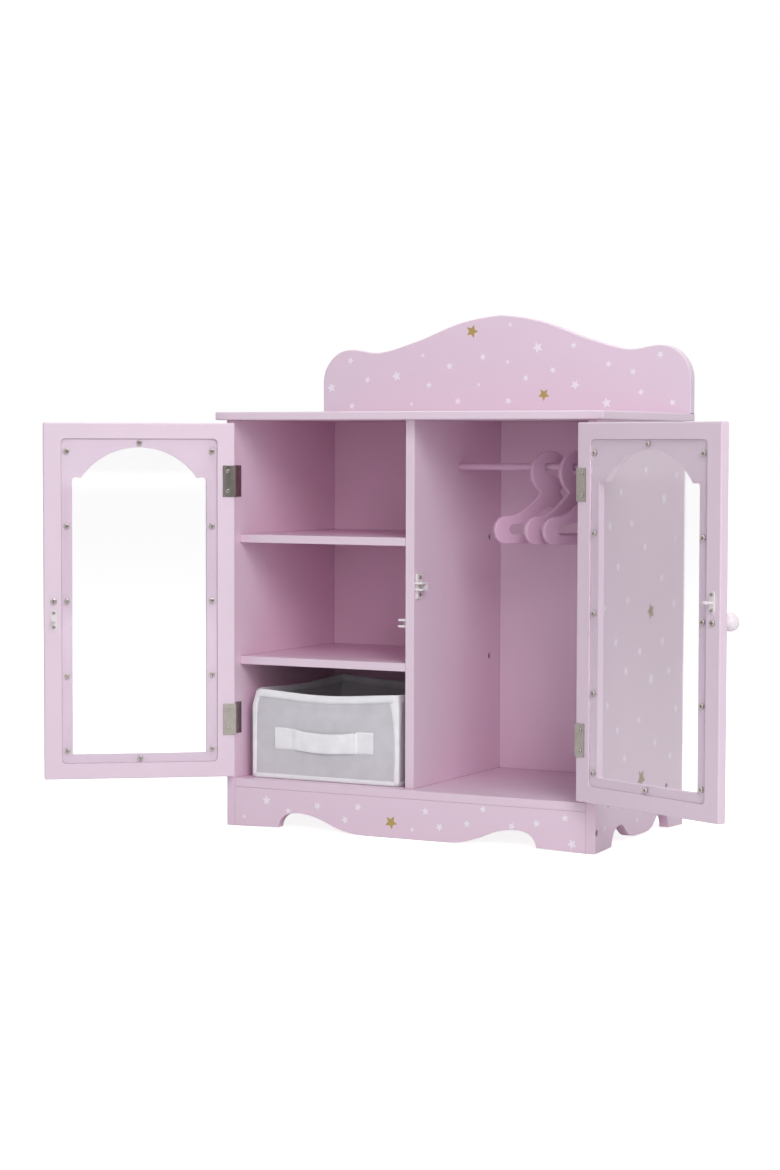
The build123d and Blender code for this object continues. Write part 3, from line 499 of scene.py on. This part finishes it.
def add_piece(name, points, faces, material, body):
    """A smooth mesh from points and faces that rides on a body."""
    mesh = bpy.data.meshes.new(name)
    mesh.from_pydata([tuple(p) for p in points], [], faces)
    mesh.materials.append(material)
    mesh.validate()
    for face in mesh.polygons:
        face.use_smooth = True
    obj = bpy.data.objects.new(name, mesh)
    bpy.context.collection.objects.link(obj)
    point_outwards(mesh)
    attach(obj, body)
    return obj


def point_outwards(mesh):
    """Turns a closed mesh's faces outwards."""
    shape = bmesh.new()
    shape.from_mesh(mesh)
    bmesh.ops.recalc_face_normals(shape, faces=shape.faces)
    shape.to_mesh(mesh)
    shape.free()


def loft(rings, closed_ring=True, closed_path=False, capped=True):
    """Points and faces of a skin over rings of equally many points."""
    count = len(rings[0])
    points = [p for ring in rings for p in ring]
    faces = []
    around = count if closed_ring else count - 1
    steps = len(rings) if closed_path else len(rings) - 1
    for i in range(steps):
        a, b = i * count, ((i + 1) % len(rings)) * count
        for j in range(around):
            k = (j + 1) % count
            faces.append((a + j, a + k, b + k, b + j))
    if capped and not closed_path:
        faces.append(tuple(range(count - 1, -1, -1)))
        last = (len(rings) - 1) * count
        faces.append(tuple(last + j for j in range(count)))
    return points, faces


def smoothstep(x, low, high):
    """Eases from 0 to 1 between two values."""
    t = min(1.0, max(0.0, (x - low) / (high - low)))
    return t * t * (3 - 2 * t)


# Window panes: how far a sheet is held off the wood, and how thick a layer counts as its back

pane_gap = 0.08 * MM
pane_back_depth = 0.2 * MM
weld_distance = 0.001 * MM


def door_facing(side):
    """The way an open door's inner face looks."""
    joint = next(j for j in frame["joints"] if j["name"] == side + "_door_hinge")
    angle = math.radians(-joint["range_deg"][0])
    return Matrix.Rotation(angle, 3, Vector(joint["axis"])) @ Vector((0, 1, 0))


def pane_sheet(side):
    """The clear sheet of a door, a hair clear of the wood that it lies on."""
    source = frame["nodes"][side + "_door_pane"].data
    facing = door_facing(side)
    shape = bmesh.new()
    shape.from_mesh(source)
    bmesh.ops.remove_doubles(shape, verts=shape.verts, dist=weld_distance)
    depth = min(v.co.dot(facing) for v in shape.verts)
    for v in shape.verts:
        if v.co.dot(facing) < depth + pane_back_depth:
            v.co += facing * pane_gap
    mesh = bpy.data.meshes.new(side + "_clear_pane")
    shape.to_mesh(mesh)
    shape.free()
    mesh.materials.clear()
    mesh.materials.append(pane_plastic)
    for face in mesh.polygons:
        face.use_smooth = False
    sheet = bpy.data.objects.new(side + "_clear_pane", mesh)
    bpy.context.collection.objects.link(sheet)
    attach(sheet, side + "_door")
    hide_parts(side + "_door_pane")


pane_sheet("left")
pane_sheet("right")


# Printed stars

star_reach = {
    "small": 3.1 * MM, "middle": 4.6 * MM, "large": 6.3 * MM, "gold": 7.5 * MM, "old_gold": 8.2 * MM,
}
side_star_growth = 1.3
star_waist_share = 0.47
ink_thickness = 0.05 * MM
ink_lift = 0.02 * MM
star_scatter = (0.92, 1.08)

# Places on the crown: across from the middle, and up from the top board, in millimetres
crown_stars = {
    "small": [(12, 103), (-101, 69), (9, 60), (-28, 34), (-116, 12)],
    "middle": [
        (175, 24), (-196, 10), (92, 78), (198, 66), (-198, 64), (-66, 56), (-23, 66), (66, 50), (135, 56),
        (165, 47), (-175, 41), (-93, 34), (32, 41), (-55, 15), (10, 15), (213, 12),
    ],
    "large": [(-136, 45), (94, 33), (133, 12), (-224, 32), (47, 76)],
    "gold": [(-37, 96), (55, 22)],
}

# Places on the apron: across from the middle, and up from the floor
apron_stars = {
    "small": [(-202, 11), (10, 11)],
    "middle": [
        (-145, 21), (-108, 29), (-73, 16), (-57, 31), (26, 32), (43, 16), (76, 22), (95, 39), (129, 23),
        (158, 28), (191, 36),
    ],
    "large": [(-173, 31), (199, 9)],
    "gold": [(-16, 17)],
}

# Places on a side: back from the front, and up from the floor
side_stars = {
    "small": [(24, 257), (26, 24), (115, 22), (222, 325), (30, 412), (205, 437)],
    "middle": [
        (135, 401), (66, 378), (36, 343), (96, 344), (134, 318), (59, 299), (183, 282), (86, 262), (220, 252),
        (54, 219), (187, 212), (121, 205), (82, 186), (206, 178), (32, 154), (120, 131), (228, 133),
        (60, 125), (167, 101), (212, 82), (80, 93), (92, 434), (225, 395),
    ],
    "large": [(188, 370), (154, 172), (160, 430)],
    "old_gold": [(152, 247), (128, 66)],
}


def star_tree():
    """Geometry nodes that lay a thin star at each point, turned and scaled by the point's own values."""
    tree, given, way_out = new_group(
        "laid_stars",
        "GeometryNodeTree",
        [
            ("Geometry", "NodeSocketGeometry", None),
            ("Waist Share", "NodeSocketFloat", star_waist_share),
            ("Ink Thickness", "NodeSocketFloat", ink_thickness),
            ("Ink", "NodeSocketMaterial", None),
        ],
        [("Geometry", "NodeSocketGeometry", None)],
    )
    outline = node(
        tree, "GeometryNodeCurveStar",
        {"Points": 5, "Inner Radius": given["Waist Share"], "Outer Radius": 1.0},
    )
    face = node(tree, "GeometryNodeFillCurve", {"Curve": outline.outputs["Curve"]})
    reach = node(tree, "GeometryNodeInputNamedAttribute", {"Name": "reach"}, data_type="FLOAT")
    turn = node(tree, "GeometryNodeInputNamedAttribute", {"Name": "turn"}, data_type="FLOAT")
    facing = node(tree, "GeometryNodeInputNamedAttribute", {"Name": "facing"}, data_type="FLOAT_VECTOR")
    square = node(
        tree, "FunctionNodeAlignRotationToVector", {"Vector": facing.outputs["Attribute"]}, axis="Z"
    )
    spin = node(tree, "ShaderNodeCombineXYZ", {"Z": turn.outputs["Attribute"]})
    spun = node(tree, "FunctionNodeEulerToRotation", {"Euler": spin.outputs["Vector"]})
    turned = node(
        tree, "FunctionNodeRotateRotation",
        {"Rotation": square.outputs["Rotation"], "Rotate By": spun.outputs["Rotation"]},
        rotation_space="LOCAL",
    )
    size = node(
        tree, "ShaderNodeCombineXYZ",
        {"X": reach.outputs["Attribute"], "Y": reach.outputs["Attribute"], "Z": 1.0},
    )
    laid = node(
        tree, "GeometryNodeInstanceOnPoints",
        {"Points": given["Geometry"], "Instance": face.outputs["Mesh"],
         "Rotation": turned.outputs["Rotation"], "Scale": size.outputs["Vector"]},
    )
    real = node(tree, "GeometryNodeRealizeInstances", {"Geometry": laid.outputs["Instances"]})
    raised = node(
        tree, "GeometryNodeExtrudeMesh",
        {"Mesh": real.outputs["Geometry"], "Offset Scale": given["Ink Thickness"], "Individual": False},
    )
    under = node(tree, "GeometryNodeFlipFaces", {"Mesh": real.outputs["Geometry"]})
    joined = node(tree, "GeometryNodeJoinGeometry", {"Geometry": raised.outputs["Mesh"]})
    tree.links.new(under.outputs["Mesh"], joined.inputs["Geometry"])
    merged = node(
        tree, "GeometryNodeMergeByDistance",
        {"Geometry": joined.outputs["Geometry"], "Distance": 0.1 * ink_thickness},
    )
    inked = node(
        tree, "GeometryNodeSetMaterial",
        {"Geometry": merged.outputs["Geometry"], "Material": given["Ink"]},
    )
    close_group(tree, way_out, Geometry=inked.outputs["Geometry"])
    return tree


def run_tree(obj, tree, **inputs):
    """Runs geometry nodes on an object once and keeps the plain mesh."""
    modifier = obj.modifiers.new("nodes", "NODES")
    modifier.node_group = tree
    for item in tree.interface.items_tree:
        if item.item_type == "SOCKET" and item.in_out == "INPUT" and item.name in inputs:
            modifier[item.identifier] = inputs[item.name]
    bpy.context.view_layer.update()
    graph = bpy.context.evaluated_depsgraph_get()
    made = bpy.data.meshes.new_from_object(obj.evaluated_get(graph), depsgraph=graph)
    obj.modifiers.clear()
    obj.data = made
    return obj


def points_object(name, places):
    """An object of bare points with a reach, a turn and a facing for each."""
    mesh = bpy.data.meshes.new(name)
    mesh.from_pydata([tuple(p[0]) for p in places], [], [])
    reach = mesh.attributes.new("reach", "FLOAT", "POINT")
    turn = mesh.attributes.new("turn", "FLOAT", "POINT")
    facing = mesh.attributes.new("facing", "FLOAT_VECTOR", "POINT")
    for i, (_, far, angle, normal) in enumerate(places):
        reach.data[i].value = far
        turn.data[i].value = angle
        facing.data[i].vector = normal
    obj = bpy.data.objects.new(name, mesh)
    bpy.context.collection.objects.link(obj)
    return obj


def star_places(table, kinds, corner, across, up, normal, grown, rng):
    """Where stars of some kinds lie on a flat face, with their reach, turn and facing."""
    lift = normal * ink_lift
    places = []
    for kind in kinds:
        for u, v in table.get(kind, ()):
            far = star_reach[kind] * grown * rng.uniform(*star_scatter)
            spot = corner + across * (u * MM) + up * (v * MM) + lift
            places.append((spot, far, rng.uniform(0, math.tau), normal))
    return places


def case_star_faces():
    """The printed faces of the case: table, corner, across, up, outward normal and growth of its stars."""
    crown_low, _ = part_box("crown_panel")
    apron_low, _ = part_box("front_apron")
    left_low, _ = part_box("left_side_panel")
    _, right_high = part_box("right_side_panel")
    up, right, back = Vector((0, 0, 1)), Vector((1, 0, 0)), Vector((0, 1, 0))
    return [
        (crown_stars, Vector((0, crown_low.y, crown_low.z)), right, up, -back, 1.0),
        (apron_stars, Vector((0, apron_low.y, 0)), right, up, -back, 1.0),
        (side_stars, Vector((right_high.x, 0, 0)), back, up, right, side_star_growth),
        (side_stars, Vector((left_low.x, 0, 0)), back, up, -right, side_star_growth),
    ]


def lay_stars():
    """Prints the stars on the case's outer faces."""
    tree = star_tree()
    rng = random.Random(7)
    for name, kinds, ink in (
        ("white_case_stars", ("small", "middle", "large"), white_ink),
        ("gold_case_stars", ("gold",), gold_foil),
        ("old_gold_case_stars", ("old_gold",), old_gold_foil),
    ):
        places = []
        for face in case_star_faces():
            places += star_places(face[0], kinds, *face[1:], rng)
        obj = run_tree(points_object(name, places), tree, Ink=ink)
        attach(obj, "case")


lay_stars()


# Cloth bin

shell_low, shell_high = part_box("bin_shell")
binding_low, binding_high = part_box("bin_binding")
bin_middle = (binding_low + binding_high) / 2
bin_half = Vector((shell_high.x - shell_low.x, shell_high.y - shell_low.y)) / 2
bin_foot = shell_low.z
bin_rim = binding_high.z - 0.8 * MM
bin_corner = 5 * MM
cloth_thickness = 2.4 * MM
floor_shares = (0.25, 0.6, 0.93)
inner_floor_shares = (0.9, 0.6, 0.25)
wall_steps = 22
wall_foot_share = 0.012
tape_thickness = 0.7 * MM
tape_gap = 0.05 * MM
tape_flutter = 0.25 * MM
tape_drop = 8 * MM
foot_tape_height = 5 * MM
foot_tape_lip = 5.3 * MM
front_sag = 4.5 * MM
side_sag = 3.0 * MM
rim_lean = 1.6 * MM
wall_bulge = 1.5 * MM
crease_depth = 0.5 * MM
creases_across = 45
creases_up = 16
columns = 240

# How far the rim stands up and the wall draws in at each corner, from the front right one round
corner_peaks = (1.8 * MM, 2.2 * MM, 2.6 * MM, 0.8 * MM)
corner_pinches = (1.0 * MM, 1.6 * MM, 1.6 * MM, 5.0 * MM)
even_peak = 1.6 * MM
peak_spread = 6 * MM
pinch_spread = 12 * MM


def plan_point(t):
    """Place, outward direction, wall index and share along that wall, at a share of the bin's outline."""
    hx, hy, r = bin_half.x, bin_half.y, bin_corner
    runs = [2 * (hx - r), 2 * (hy - r)] * 2
    arc = math.pi * r / 2
    total = sum(runs) + 4 * arc
    walk = (t % 1.0) * total
    starts = [(-hx + r, -hy), (hx, -hy + r), (hx - r, hy), (-hx, hy - r)]
    ways = [(1, 0), (0, 1), (-1, 0), (0, -1)]
    for i in range(4):
        dx, dy = ways[i]
        if walk <= runs[i]:
            place = Vector((starts[i][0] + dx * walk, starts[i][1] + dy * walk))
            return place, Vector((dy, -dx)), i, walk / runs[i]
        walk -= runs[i]
        if walk <= arc:
            angle = walk / r
            out = Vector((
                dy * math.cos(angle) + dx * math.sin(angle), -dx * math.cos(angle) + dy * math.sin(angle),
            ))
            end = Vector((starts[i][0] + dx * runs[i], starts[i][1] + dy * runs[i]))
            return end + Vector((-dy, dx)) * r + out * r, out, i, 1.0
        walk -= arc
    return Vector(starts[0]), Vector((0, -1)), 0, 0.0


def by_corner(wall, along, spread):
    """The nearest corner's index, and how much of its pull is felt here."""
    corner = (wall + (0 if along > 0.5 else 3)) % 4
    run = 2 * ((bin_half.x if wall % 2 == 0 else bin_half.y) - bin_corner)
    far = min(along, 1 - along) * run
    return corner, math.exp(-((far / spread) ** 2))


def rim_height(t):
    """How high the bin's wall stands at a share of its outline, sagging between its corners."""
    _, _, wall, along = plan_point(t)
    sag = front_sag if wall % 2 == 0 else side_sag
    dip = sag * math.sin(math.pi * along) ** 1.5
    corner, near = by_corner(wall, along, peak_spread)
    return bin_rim - bin_foot - dip + (corner_peaks[corner] - even_peak) * near


def bin_point(t, rise, out):
    """A point of the bin's wall: a share of its outline, a rise over its foot and a way out from its face."""
    place, normal, wall, along = plan_point(t)
    high = rim_height(t)
    share = min(1.0, max(0.0, rise / high))
    belly = math.sin(math.pi * along) * (
        wall_bulge * math.sin(math.pi * share) ** 1.2 - rim_lean * smoothstep(share, 0.6, 1.0)
    )
    fold = Vector((place.x * creases_across, place.y * creases_across, rise * creases_up))
    crumple = noise.noise(fold) * crease_depth
    soft = crumple * math.sin(math.pi * min(1.0, max(0.0, along))) * smoothstep(share, 0.0, 0.2)
    corner, near = by_corner(wall, along, pinch_spread)
    pinch = corner_pinches[corner] * near * smoothstep(share, 0.8, 1.0)
    flat = place + normal * (out + belly + soft)
    flat.x -= math.copysign(pinch, flat.x)
    return Vector((bin_middle.x + flat.x, bin_middle.y + flat.y, bin_foot + rise))


def floor_ring(share, z):
    """A ring of the bin's floor, drawn in towards its middle."""
    ring = []
    for j in range(columns):
        place = plan_point(j / columns)[0] * share
        ring.append(Vector((bin_middle.x + place.x, bin_middle.y + place.y, z)))
    return ring


def wall_ring(share, out):
    """A ring round the bin's wall at a share of its height."""
    return [bin_point(j / columns, share * rim_height(j / columns), out) for j in range(columns)]


def bin_shell():
    """The open bin: sagging walls, a folded rim and a floor, as one closed skin."""
    levels = [i / wall_steps for i in range(wall_steps + 1)]
    rings = [floor_ring(s, bin_foot + tape_thickness) for s in floor_shares]
    rings += [wall_ring(max(s, wall_foot_share), 0) for s in levels]
    rings += [wall_ring(s, -cloth_thickness) for s in reversed(levels[1:])]
    rings += [floor_ring(s, bin_foot + cloth_thickness) for s in inner_floor_shares]
    points, faces = loft(rings)
    shell = add_piece("bin_cloth_shell", points, faces, grey_cloth, "bin")
    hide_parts("bin_shell")


def rim_tape():
    """The folded white tape over the rim."""
    t = tape_thickness
    inner = -cloth_thickness
    section = [
        (tape_gap, -tape_drop), (t, -tape_drop), (t, -tape_drop * 0.5), (t, -t), (t * 0.4, t),
        (inner / 2, t * 1.3), (inner - t * 0.4, t), (inner - t, -t), (inner - t, -tape_drop * 0.5),
        (inner - t, -tape_drop), (inner - tape_gap, -tape_drop), (inner, -t), (inner / 2, tape_gap), (0, -t),
    ]
    rings = []
    for j in range(columns):
        share = j / columns
        high = rim_height(share)
        flutter = tape_flutter * noise.noise(Vector((share * 90, 3.1, 0)))
        ring = []
        for out, drop in section:
            lower = flutter * 2 if drop == -tape_drop else 0
            ring.append(bin_point(share, high + drop + lower, out))
        rings.append(ring)
    points, faces = loft(rings, closed_path=True)
    tape = add_piece("bin_rim_tape", points, faces, white_tape, "bin")
    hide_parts("bin_binding")


def foot_tape():
    """The white tape round the bin's lower edge."""
    t = tape_thickness
    section = [
        (-foot_tape_height, 0), (0.2 * MM, 0), (t, 0.5 * MM), (t, foot_tape_height),
        (tape_gap, foot_tape_lip), (0, t), (-foot_tape_height, t * 0.6),
    ]
    rings = [[bin_point(j / columns, rise, out) for out, rise in section] for j in range(columns)]
    points, faces = loft(rings, closed_path=True)
    add_piece("bin_foot_tape", points, faces, white_tape, "bin")


def outline_length():
    """How far it is round the bin."""
    hx, hy, r = bin_half.x, bin_half.y, bin_corner
    return 4 * (hx - r) + 4 * (hy - r) + math.tau * r


def corner_shares():
    """The shares of the outline at the middles of its four corners, from the front right one round."""
    hx, hy, r = bin_half.x, bin_half.y, bin_corner
    arc = math.pi * r / 2
    long, deep = 2 * (hx - r), 2 * (hy - r)
    total = outline_length()
    walks = (long + arc / 2, long + deep + 1.5 * arc, 2 * long + deep + 2.5 * arc, total - arc / 2)
    return [walk / total for walk in walks]


# Seam tapes up the bin's corners, from the front right one round

corner_tape_half = 4.4 * MM
corner_tape_flares = (5.0 * MM, 1.5 * MM, 1.5 * MM, 1.5 * MM)
corner_tape_waver = 0.4 * MM
corner_tape_drift = 0.8 * MM
corner_tape_foot = 1 * MM
corner_tape_top_gap = 2 * MM
corner_tape_back = 0.3 * MM
corner_tape_steps = 24
corner_tape_columns = 8
ridge_height = 1.1 * MM
ridge_width = 1.6 * MM


def corner_tapes():
    """The seam tapes up the bin's corners, each with a pinched ridge, and wider at the top."""
    total = outline_length()
    points, faces = [], []
    for index, middle in enumerate(corner_shares()):
        rings = []
        for i in range(corner_tape_steps + 1):
            share = i / corner_tape_steps
            flare = corner_tape_flares[index] * smoothstep(share, 0.5, 1.0)
            waver = corner_tape_waver * noise.noise(Vector((share * 6, index * 7.7, 0)))
            half = corner_tape_half + flare + waver
            drift = corner_tape_drift * math.sin(math.pi * share)
            count = corner_tape_columns
            sides = []
            for k in range(-count, count + 1):
                u = k / count
                ridge = ridge_height * math.exp(-((u * half / ridge_width) ** 2))
                sides.append((u, tape_thickness * (1 - abs(u) ** 6) + ridge * (0.6 + 0.4 * share)))
            sides += [(u, -corner_tape_back) for u in (1, 0, -1)]
            ring = []
            for u, out in sides:
                t = middle + (u * half + drift) / total
                rise = share * (rim_height(t) - corner_tape_top_gap) + corner_tape_foot
                ring.append(bin_point(t, rise, out))
            rings.append(ring)
        more, skin = loft(rings)
        faces += [tuple(v + len(points) for v in face) for face in skin]
        points += more
    add_piece("bin_corner_tapes", points, faces, white_tape, "bin")


# Handle on the bin's front

handle_low, handle_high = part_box("bin_handle")
handle_middle = (handle_low.z + handle_high.z) / 2 + 0.4 * MM
left_tab_share = 0.19
right_tab_share = 0.84
tab_half = 12.3 * MM
strap_half = 11.2 * MM
handle_drop = 3.0 * MM
strap_thickness = 1.2 * MM
strap_front_gap = 0.3 * MM
strap_back_gap = 0.4 * MM
strap_lap = 3.4 * MM
strap_lap_share = 0.945
strap_lap_width_share = 0.032
strap_fold = 0.5 * MM
strap_twist = 0.6 * MM
strap_steps = 160
strap_columns = 6


def strap_point(share, side, out):
    """A point of the handle: a share along it, a share from its middle up and a way out from its back."""
    length = handle_high.x - handle_low.x
    u = min(1.0, max(0.0, (share - left_tab_share) / (right_tab_share - left_tab_share)))
    arch = math.sin(math.pi * u)
    stand = arch ** 0.5 * (handle_high.y - handle_low.y - strap_thickness - strap_front_gap)
    lap = strap_lap * math.exp(-(((u - strap_lap_share) / strap_lap_width_share) ** 2))
    lap *= smoothstep(1 - u, 0.0, 0.03)
    x = handle_low.x + share * length + lap
    half = tab_half + (strap_half - tab_half) * min(1.0, 2 * arch)
    folds = strap_fold * arch * noise.noise(Vector((x * 75, side * 0.5, 0.4)))
    twist = strap_twist * arch * side
    y = handle_high.y - strap_back_gap - stand - out - twist + folds
    return Vector((x, y, handle_middle + side * half - handle_drop * arch ** 0.8))


def handle():
    """The sewn strap on the bin's front."""
    sides = [k / strap_columns - 1 for k in range(2 * strap_columns + 1)]
    section = [(u, strap_thickness * (1 - 0.6 * abs(u) ** 8)) for u in sides]
    section += [(u, strap_thickness * 0.3 * abs(u) ** 8) for u in reversed(sides)]
    rings = [[strap_point(i / strap_steps, u, out) for u, out in section] for i in range(strap_steps + 1)]
    points, faces = loft(rings)
    strap = add_piece("bin_strap_handle", points, faces, white_tape, "bin")
    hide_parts("bin_handle")


def floor_board():
    """The covered board that lies in the bin."""
    low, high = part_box("bin_board")
    edge = (high.x - low.x) / (2 * bin_half.x)
    bevelled, bevel = edge * 0.992, 0.5 * MM
    levels = [
        (0.3, low.z), (bevelled, low.z), (edge, low.z + bevel), (edge, high.z - bevel), (bevelled, high.z),
        (0.3, high.z),
    ]
    rings = [floor_ring(share, z) for share, z in levels]
    points, faces = loft(rings)
    board = add_piece("bin_covered_board", points, faces, board_cloth, "bin")
    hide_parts("bin_board")


def stitch_tree():
    """Geometry nodes that sew stitches of thread along the object's edges."""
    tree, given, way_out = new_group(
        "sewn_stitches",
        "GeometryNodeTree",
        [
            ("Geometry", "NodeSocketGeometry", None),
            ("Pitch", "NodeSocketFloat", 3.2 * MM),
            ("Stitch Length", "NodeSocketFloat", 2.4 * MM),
            ("Thread Width", "NodeSocketFloat", 0.5 * MM),
            ("Thread", "NodeSocketMaterial", None),
        ],
        [("Geometry", "NodeSocketGeometry", None)],
    )
    path = node(tree, "GeometryNodeMeshToCurve", {"Mesh": given["Geometry"]})
    spaced = node(
        tree, "GeometryNodeResampleCurve",
        {"Curve": path.outputs["Curve"], "Length": given["Pitch"]}, mode="LENGTH",
    )
    bead = node(tree, "GeometryNodeMeshUVSphere", {"Segments": 6, "Rings": 5, "Radius": 0.5})
    tangent = node(tree, "GeometryNodeInputTangent")
    along = node(tree, "FunctionNodeAlignRotationToVector", {"Vector": tangent.outputs["Tangent"]}, axis="X")
    size = node(
        tree, "ShaderNodeCombineXYZ",
        {"X": given["Stitch Length"], "Y": given["Thread Width"], "Z": given["Thread Width"]},
    )
    sewn = node(
        tree, "GeometryNodeInstanceOnPoints",
        {"Points": spaced.outputs["Curve"], "Instance": bead.outputs["Mesh"],
         "Rotation": along.outputs["Rotation"], "Scale": size.outputs["Vector"]},
    )
    real = node(tree, "GeometryNodeRealizeInstances", {"Geometry": sewn.outputs["Instances"]})
    smooth = node(tree, "GeometryNodeSetShadeSmooth", {"Geometry": real.outputs["Geometry"]})
    threaded = node(
        tree, "GeometryNodeSetMaterial",
        {"Geometry": smooth.outputs["Geometry"], "Material": given["Thread"]},
    )
    close_group(tree, way_out, Geometry=threaded.outputs["Geometry"])
    return tree


def path_object(name, paths):
    """An object of bare edges along several paths of points."""
    points, edges = [], []
    for path, closed in paths:
        first = len(points)
        points += [tuple(p) for p in path]
        edges += [(first + i, first + i + 1) for i in range(len(path) - 1)]
        if closed:
            edges.append((len(points) - 1, first))
    mesh = bpy.data.meshes.new(name)
    mesh.from_pydata(points, edges, [])
    obj = bpy.data.objects.new(name, mesh)
    bpy.context.collection.objects.link(obj)
    return obj


# Seams of the tapes and of the handle's tabs

thread_lift = 0.1 * MM
rim_seam_rise = 1.4 * MM
foot_seam_rise = 4.1 * MM
tab_seams = ((0.02, 0.155), (0.85, 0.98))
tab_seam_half_share = 0.82


def tab_path(start, end):
    """The sewn rectangle on one tab of the handle."""
    half = tab_seam_half_share
    out = strap_thickness + tape_gap
    corners = [(start, -half), (end, -half), (end, half), (start, half)]
    path = []
    for i in range(4):
        (s0, h0), (s1, h1) = corners[i], corners[(i + 1) % 4]
        path += [strap_point(s0 + (s1 - s0) * k / 10, h0 + (h1 - h0) * k / 10, out) for k in range(10)]
    return path


def sew_bin():
    """The seams of the bin's tapes and of its handle's tabs."""
    out = tape_thickness + thread_lift
    shares = [j / columns for j in range(columns)]
    rim = [bin_point(share, rim_height(share) - tape_drop + rim_seam_rise, out) for share in shares]
    foot = [bin_point(share, foot_seam_rise, out) for share in shares]
    paths = [(rim, True), (foot, True)] + [(tab_path(*seam), True) for seam in tab_seams]
    obj = run_tree(path_object("bin_stitches", paths), stitch_tree(), Thread=thread)
    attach(obj, "bin")


bin_shell()
rim_tape()
foot_tape()
corner_tapes()
handle()
floor_board()
sew_bin()


# Light, floor and camera

def area_light(name, place, aim, size, power, mirrored=True):
    """A large soft lamp that looks at a point, and that metal may mirror."""
    data = bpy.data.lights.new(name, "AREA")
    data.shape = "RECTANGLE"
    data.size, data.size_y = size
    data.energy = power
    obj = bpy.data.objects.new(name, data)
    obj.location = place
    obj.rotation_euler = (Vector(aim) - Vector(place)).to_track_quat("-Z", "Y").to_euler()
    obj.visible_glossy = mirrored
    bpy.context.collection.objects.link(obj)


def unscattered(tree, path, seen):
    """Keeps a mask only for rays that no matt surface has scattered yet."""
    fresh = node(tree, "ShaderNodeMath", {0: path.outputs["Diffuse Depth"], 1: 0.5}, operation="LESS_THAN")
    return node(tree, "ShaderNodeMath", {0: seen, 1: fresh.outputs[0]}, operation="MULTIPLY").outputs[0]


def plain_world():
    """Soft even light on the object, and a white background behind it."""
    world = bpy.data.worlds.new("studio")
    world.use_nodes = True
    bpy.context.scene.world = world
    tree = world.node_tree
    tree.nodes.clear()
    path = node(tree, "ShaderNodeLightPath")
    mirrored_or_seen = node(
        tree, "ShaderNodeMath",
        {0: path.outputs["Is Camera Ray"], 1: path.outputs["Is Glossy Ray"]}, operation="MAXIMUM",
    )
    any_view = node(
        tree, "ShaderNodeMath",
        {0: mirrored_or_seen.outputs[0], 1: path.outputs["Is Transmission Ray"]}, operation="MAXIMUM",
    )
    seen = unscattered(tree, path, any_view.outputs[0])
    light = node(tree, "ShaderNodeBackground", {"Color": (1, 1, 1, 1), "Strength": room_light})
    way = node(tree, "ShaderNodeTexCoord").outputs["Generated"]
    facing = node(tree, "ShaderNodeVectorMath", {0: way, 1: dim_side}, operation="DOT_PRODUCT")
    level = node(
        tree, "ShaderNodeMapRange",
        {"Value": facing.outputs["Value"], "From Min": dim_edges[0], "From Max": dim_edges[1],
         "To Min": 1.0, "To Max": dim_level},
        interpolation_type="SMOOTHSTEP",
    )
    mirrored = node(
        tree, "ShaderNodeMix",
        {"Factor": path.outputs["Is Glossy Ray"], "A": 1.0, "B": level.outputs["Result"]},
    )
    white = node(
        tree, "ShaderNodeBackground", {"Color": (1, 1, 1, 1), "Strength": mirrored.outputs["Result"]}
    )
    both = node(
        tree, "ShaderNodeMixShader",
        {0: seen, 1: light.outputs["Background"], 2: white.outputs["Background"]},
    )
    out = node(tree, "ShaderNodeOutputWorld")
    tree.links.new(both.outputs["Shader"], out.inputs["Surface"])


def pale_floor():
    """A wide pale floor that keeps the closet's soft shadow."""
    material = bpy.data.materials.new("pale_floor")
    material.use_nodes = True
    tree = material.node_tree
    tree.nodes.clear()
    matt = node(tree, "ShaderNodeBsdfDiffuse", {"Color": floor_colour})
    path = node(tree, "ShaderNodeLightPath")
    seen = node(
        tree, "ShaderNodeMath",
        {0: path.outputs["Is Camera Ray"], 1: path.outputs["Is Transmission Ray"]}, operation="MAXIMUM",
    )
    direct = unscattered(tree, path, seen.outputs[0])
    glow_level = node(tree, "ShaderNodeMath", {0: direct, 1: floor_glow}, operation="MULTIPLY")
    glow = node(tree, "ShaderNodeEmission", {"Color": (1, 1, 1, 1), "Strength": glow_level.outputs[0]})
    both = node(tree, "ShaderNodeAddShader", {0: matt.outputs["BSDF"], 1: glow.outputs["Emission"]})
    out = node(tree, "ShaderNodeOutputMaterial")
    tree.links.new(both.outputs["Shader"], out.inputs["Surface"])
    r = floor_reach
    mesh = bpy.data.meshes.new("floor")
    mesh.from_pydata([(-r, -r, 0), (r, -r, 0), (r, r, 0), (-r, r, 0)], [], [(0, 1, 2, 3)])
    mesh.materials.append(material)
    floor = bpy.data.objects.new("floor", mesh)
    floor.location.z = -floor_drop
    bpy.context.collection.objects.link(floor)


def photo_camera():
    """The camera where the photograph was taken from."""
    az, el = camera_azimuth, camera_elevation
    back = Vector((math.sin(az) * math.cos(el), -math.cos(az) * math.cos(el), math.sin(el)))
    right = Vector((math.cos(az), math.sin(az), 0))
    up = back.cross(right)
    rolled = right * math.cos(camera_roll) + up * math.sin(camera_roll)
    top = back.cross(rolled)
    data = bpy.data.cameras.new("camera")
    data.lens = camera_lens
    data.sensor_width = camera_sensor
    data.clip_start = camera_near
    camera = bpy.data.objects.new("camera", data)
    turn = Matrix((rolled, top, back)).transposed().to_4x4()
    camera.matrix_world = Matrix.Translation(camera_target + back * camera_distance) @ turn
    bpy.context.collection.objects.link(camera)
    bpy.context.scene.camera = camera


photo_camera()
plain_world()
pale_floor()
area_light("key", key_place, lamp_aim, key_size, key_power)
area_light("front", front_place, lamp_aim, front_size, front_power, mirrored=False)
area_light("top", top_place, top_aim, top_size, top_power)
bpy.context.scene.view_settings.view_transform = "Standard"
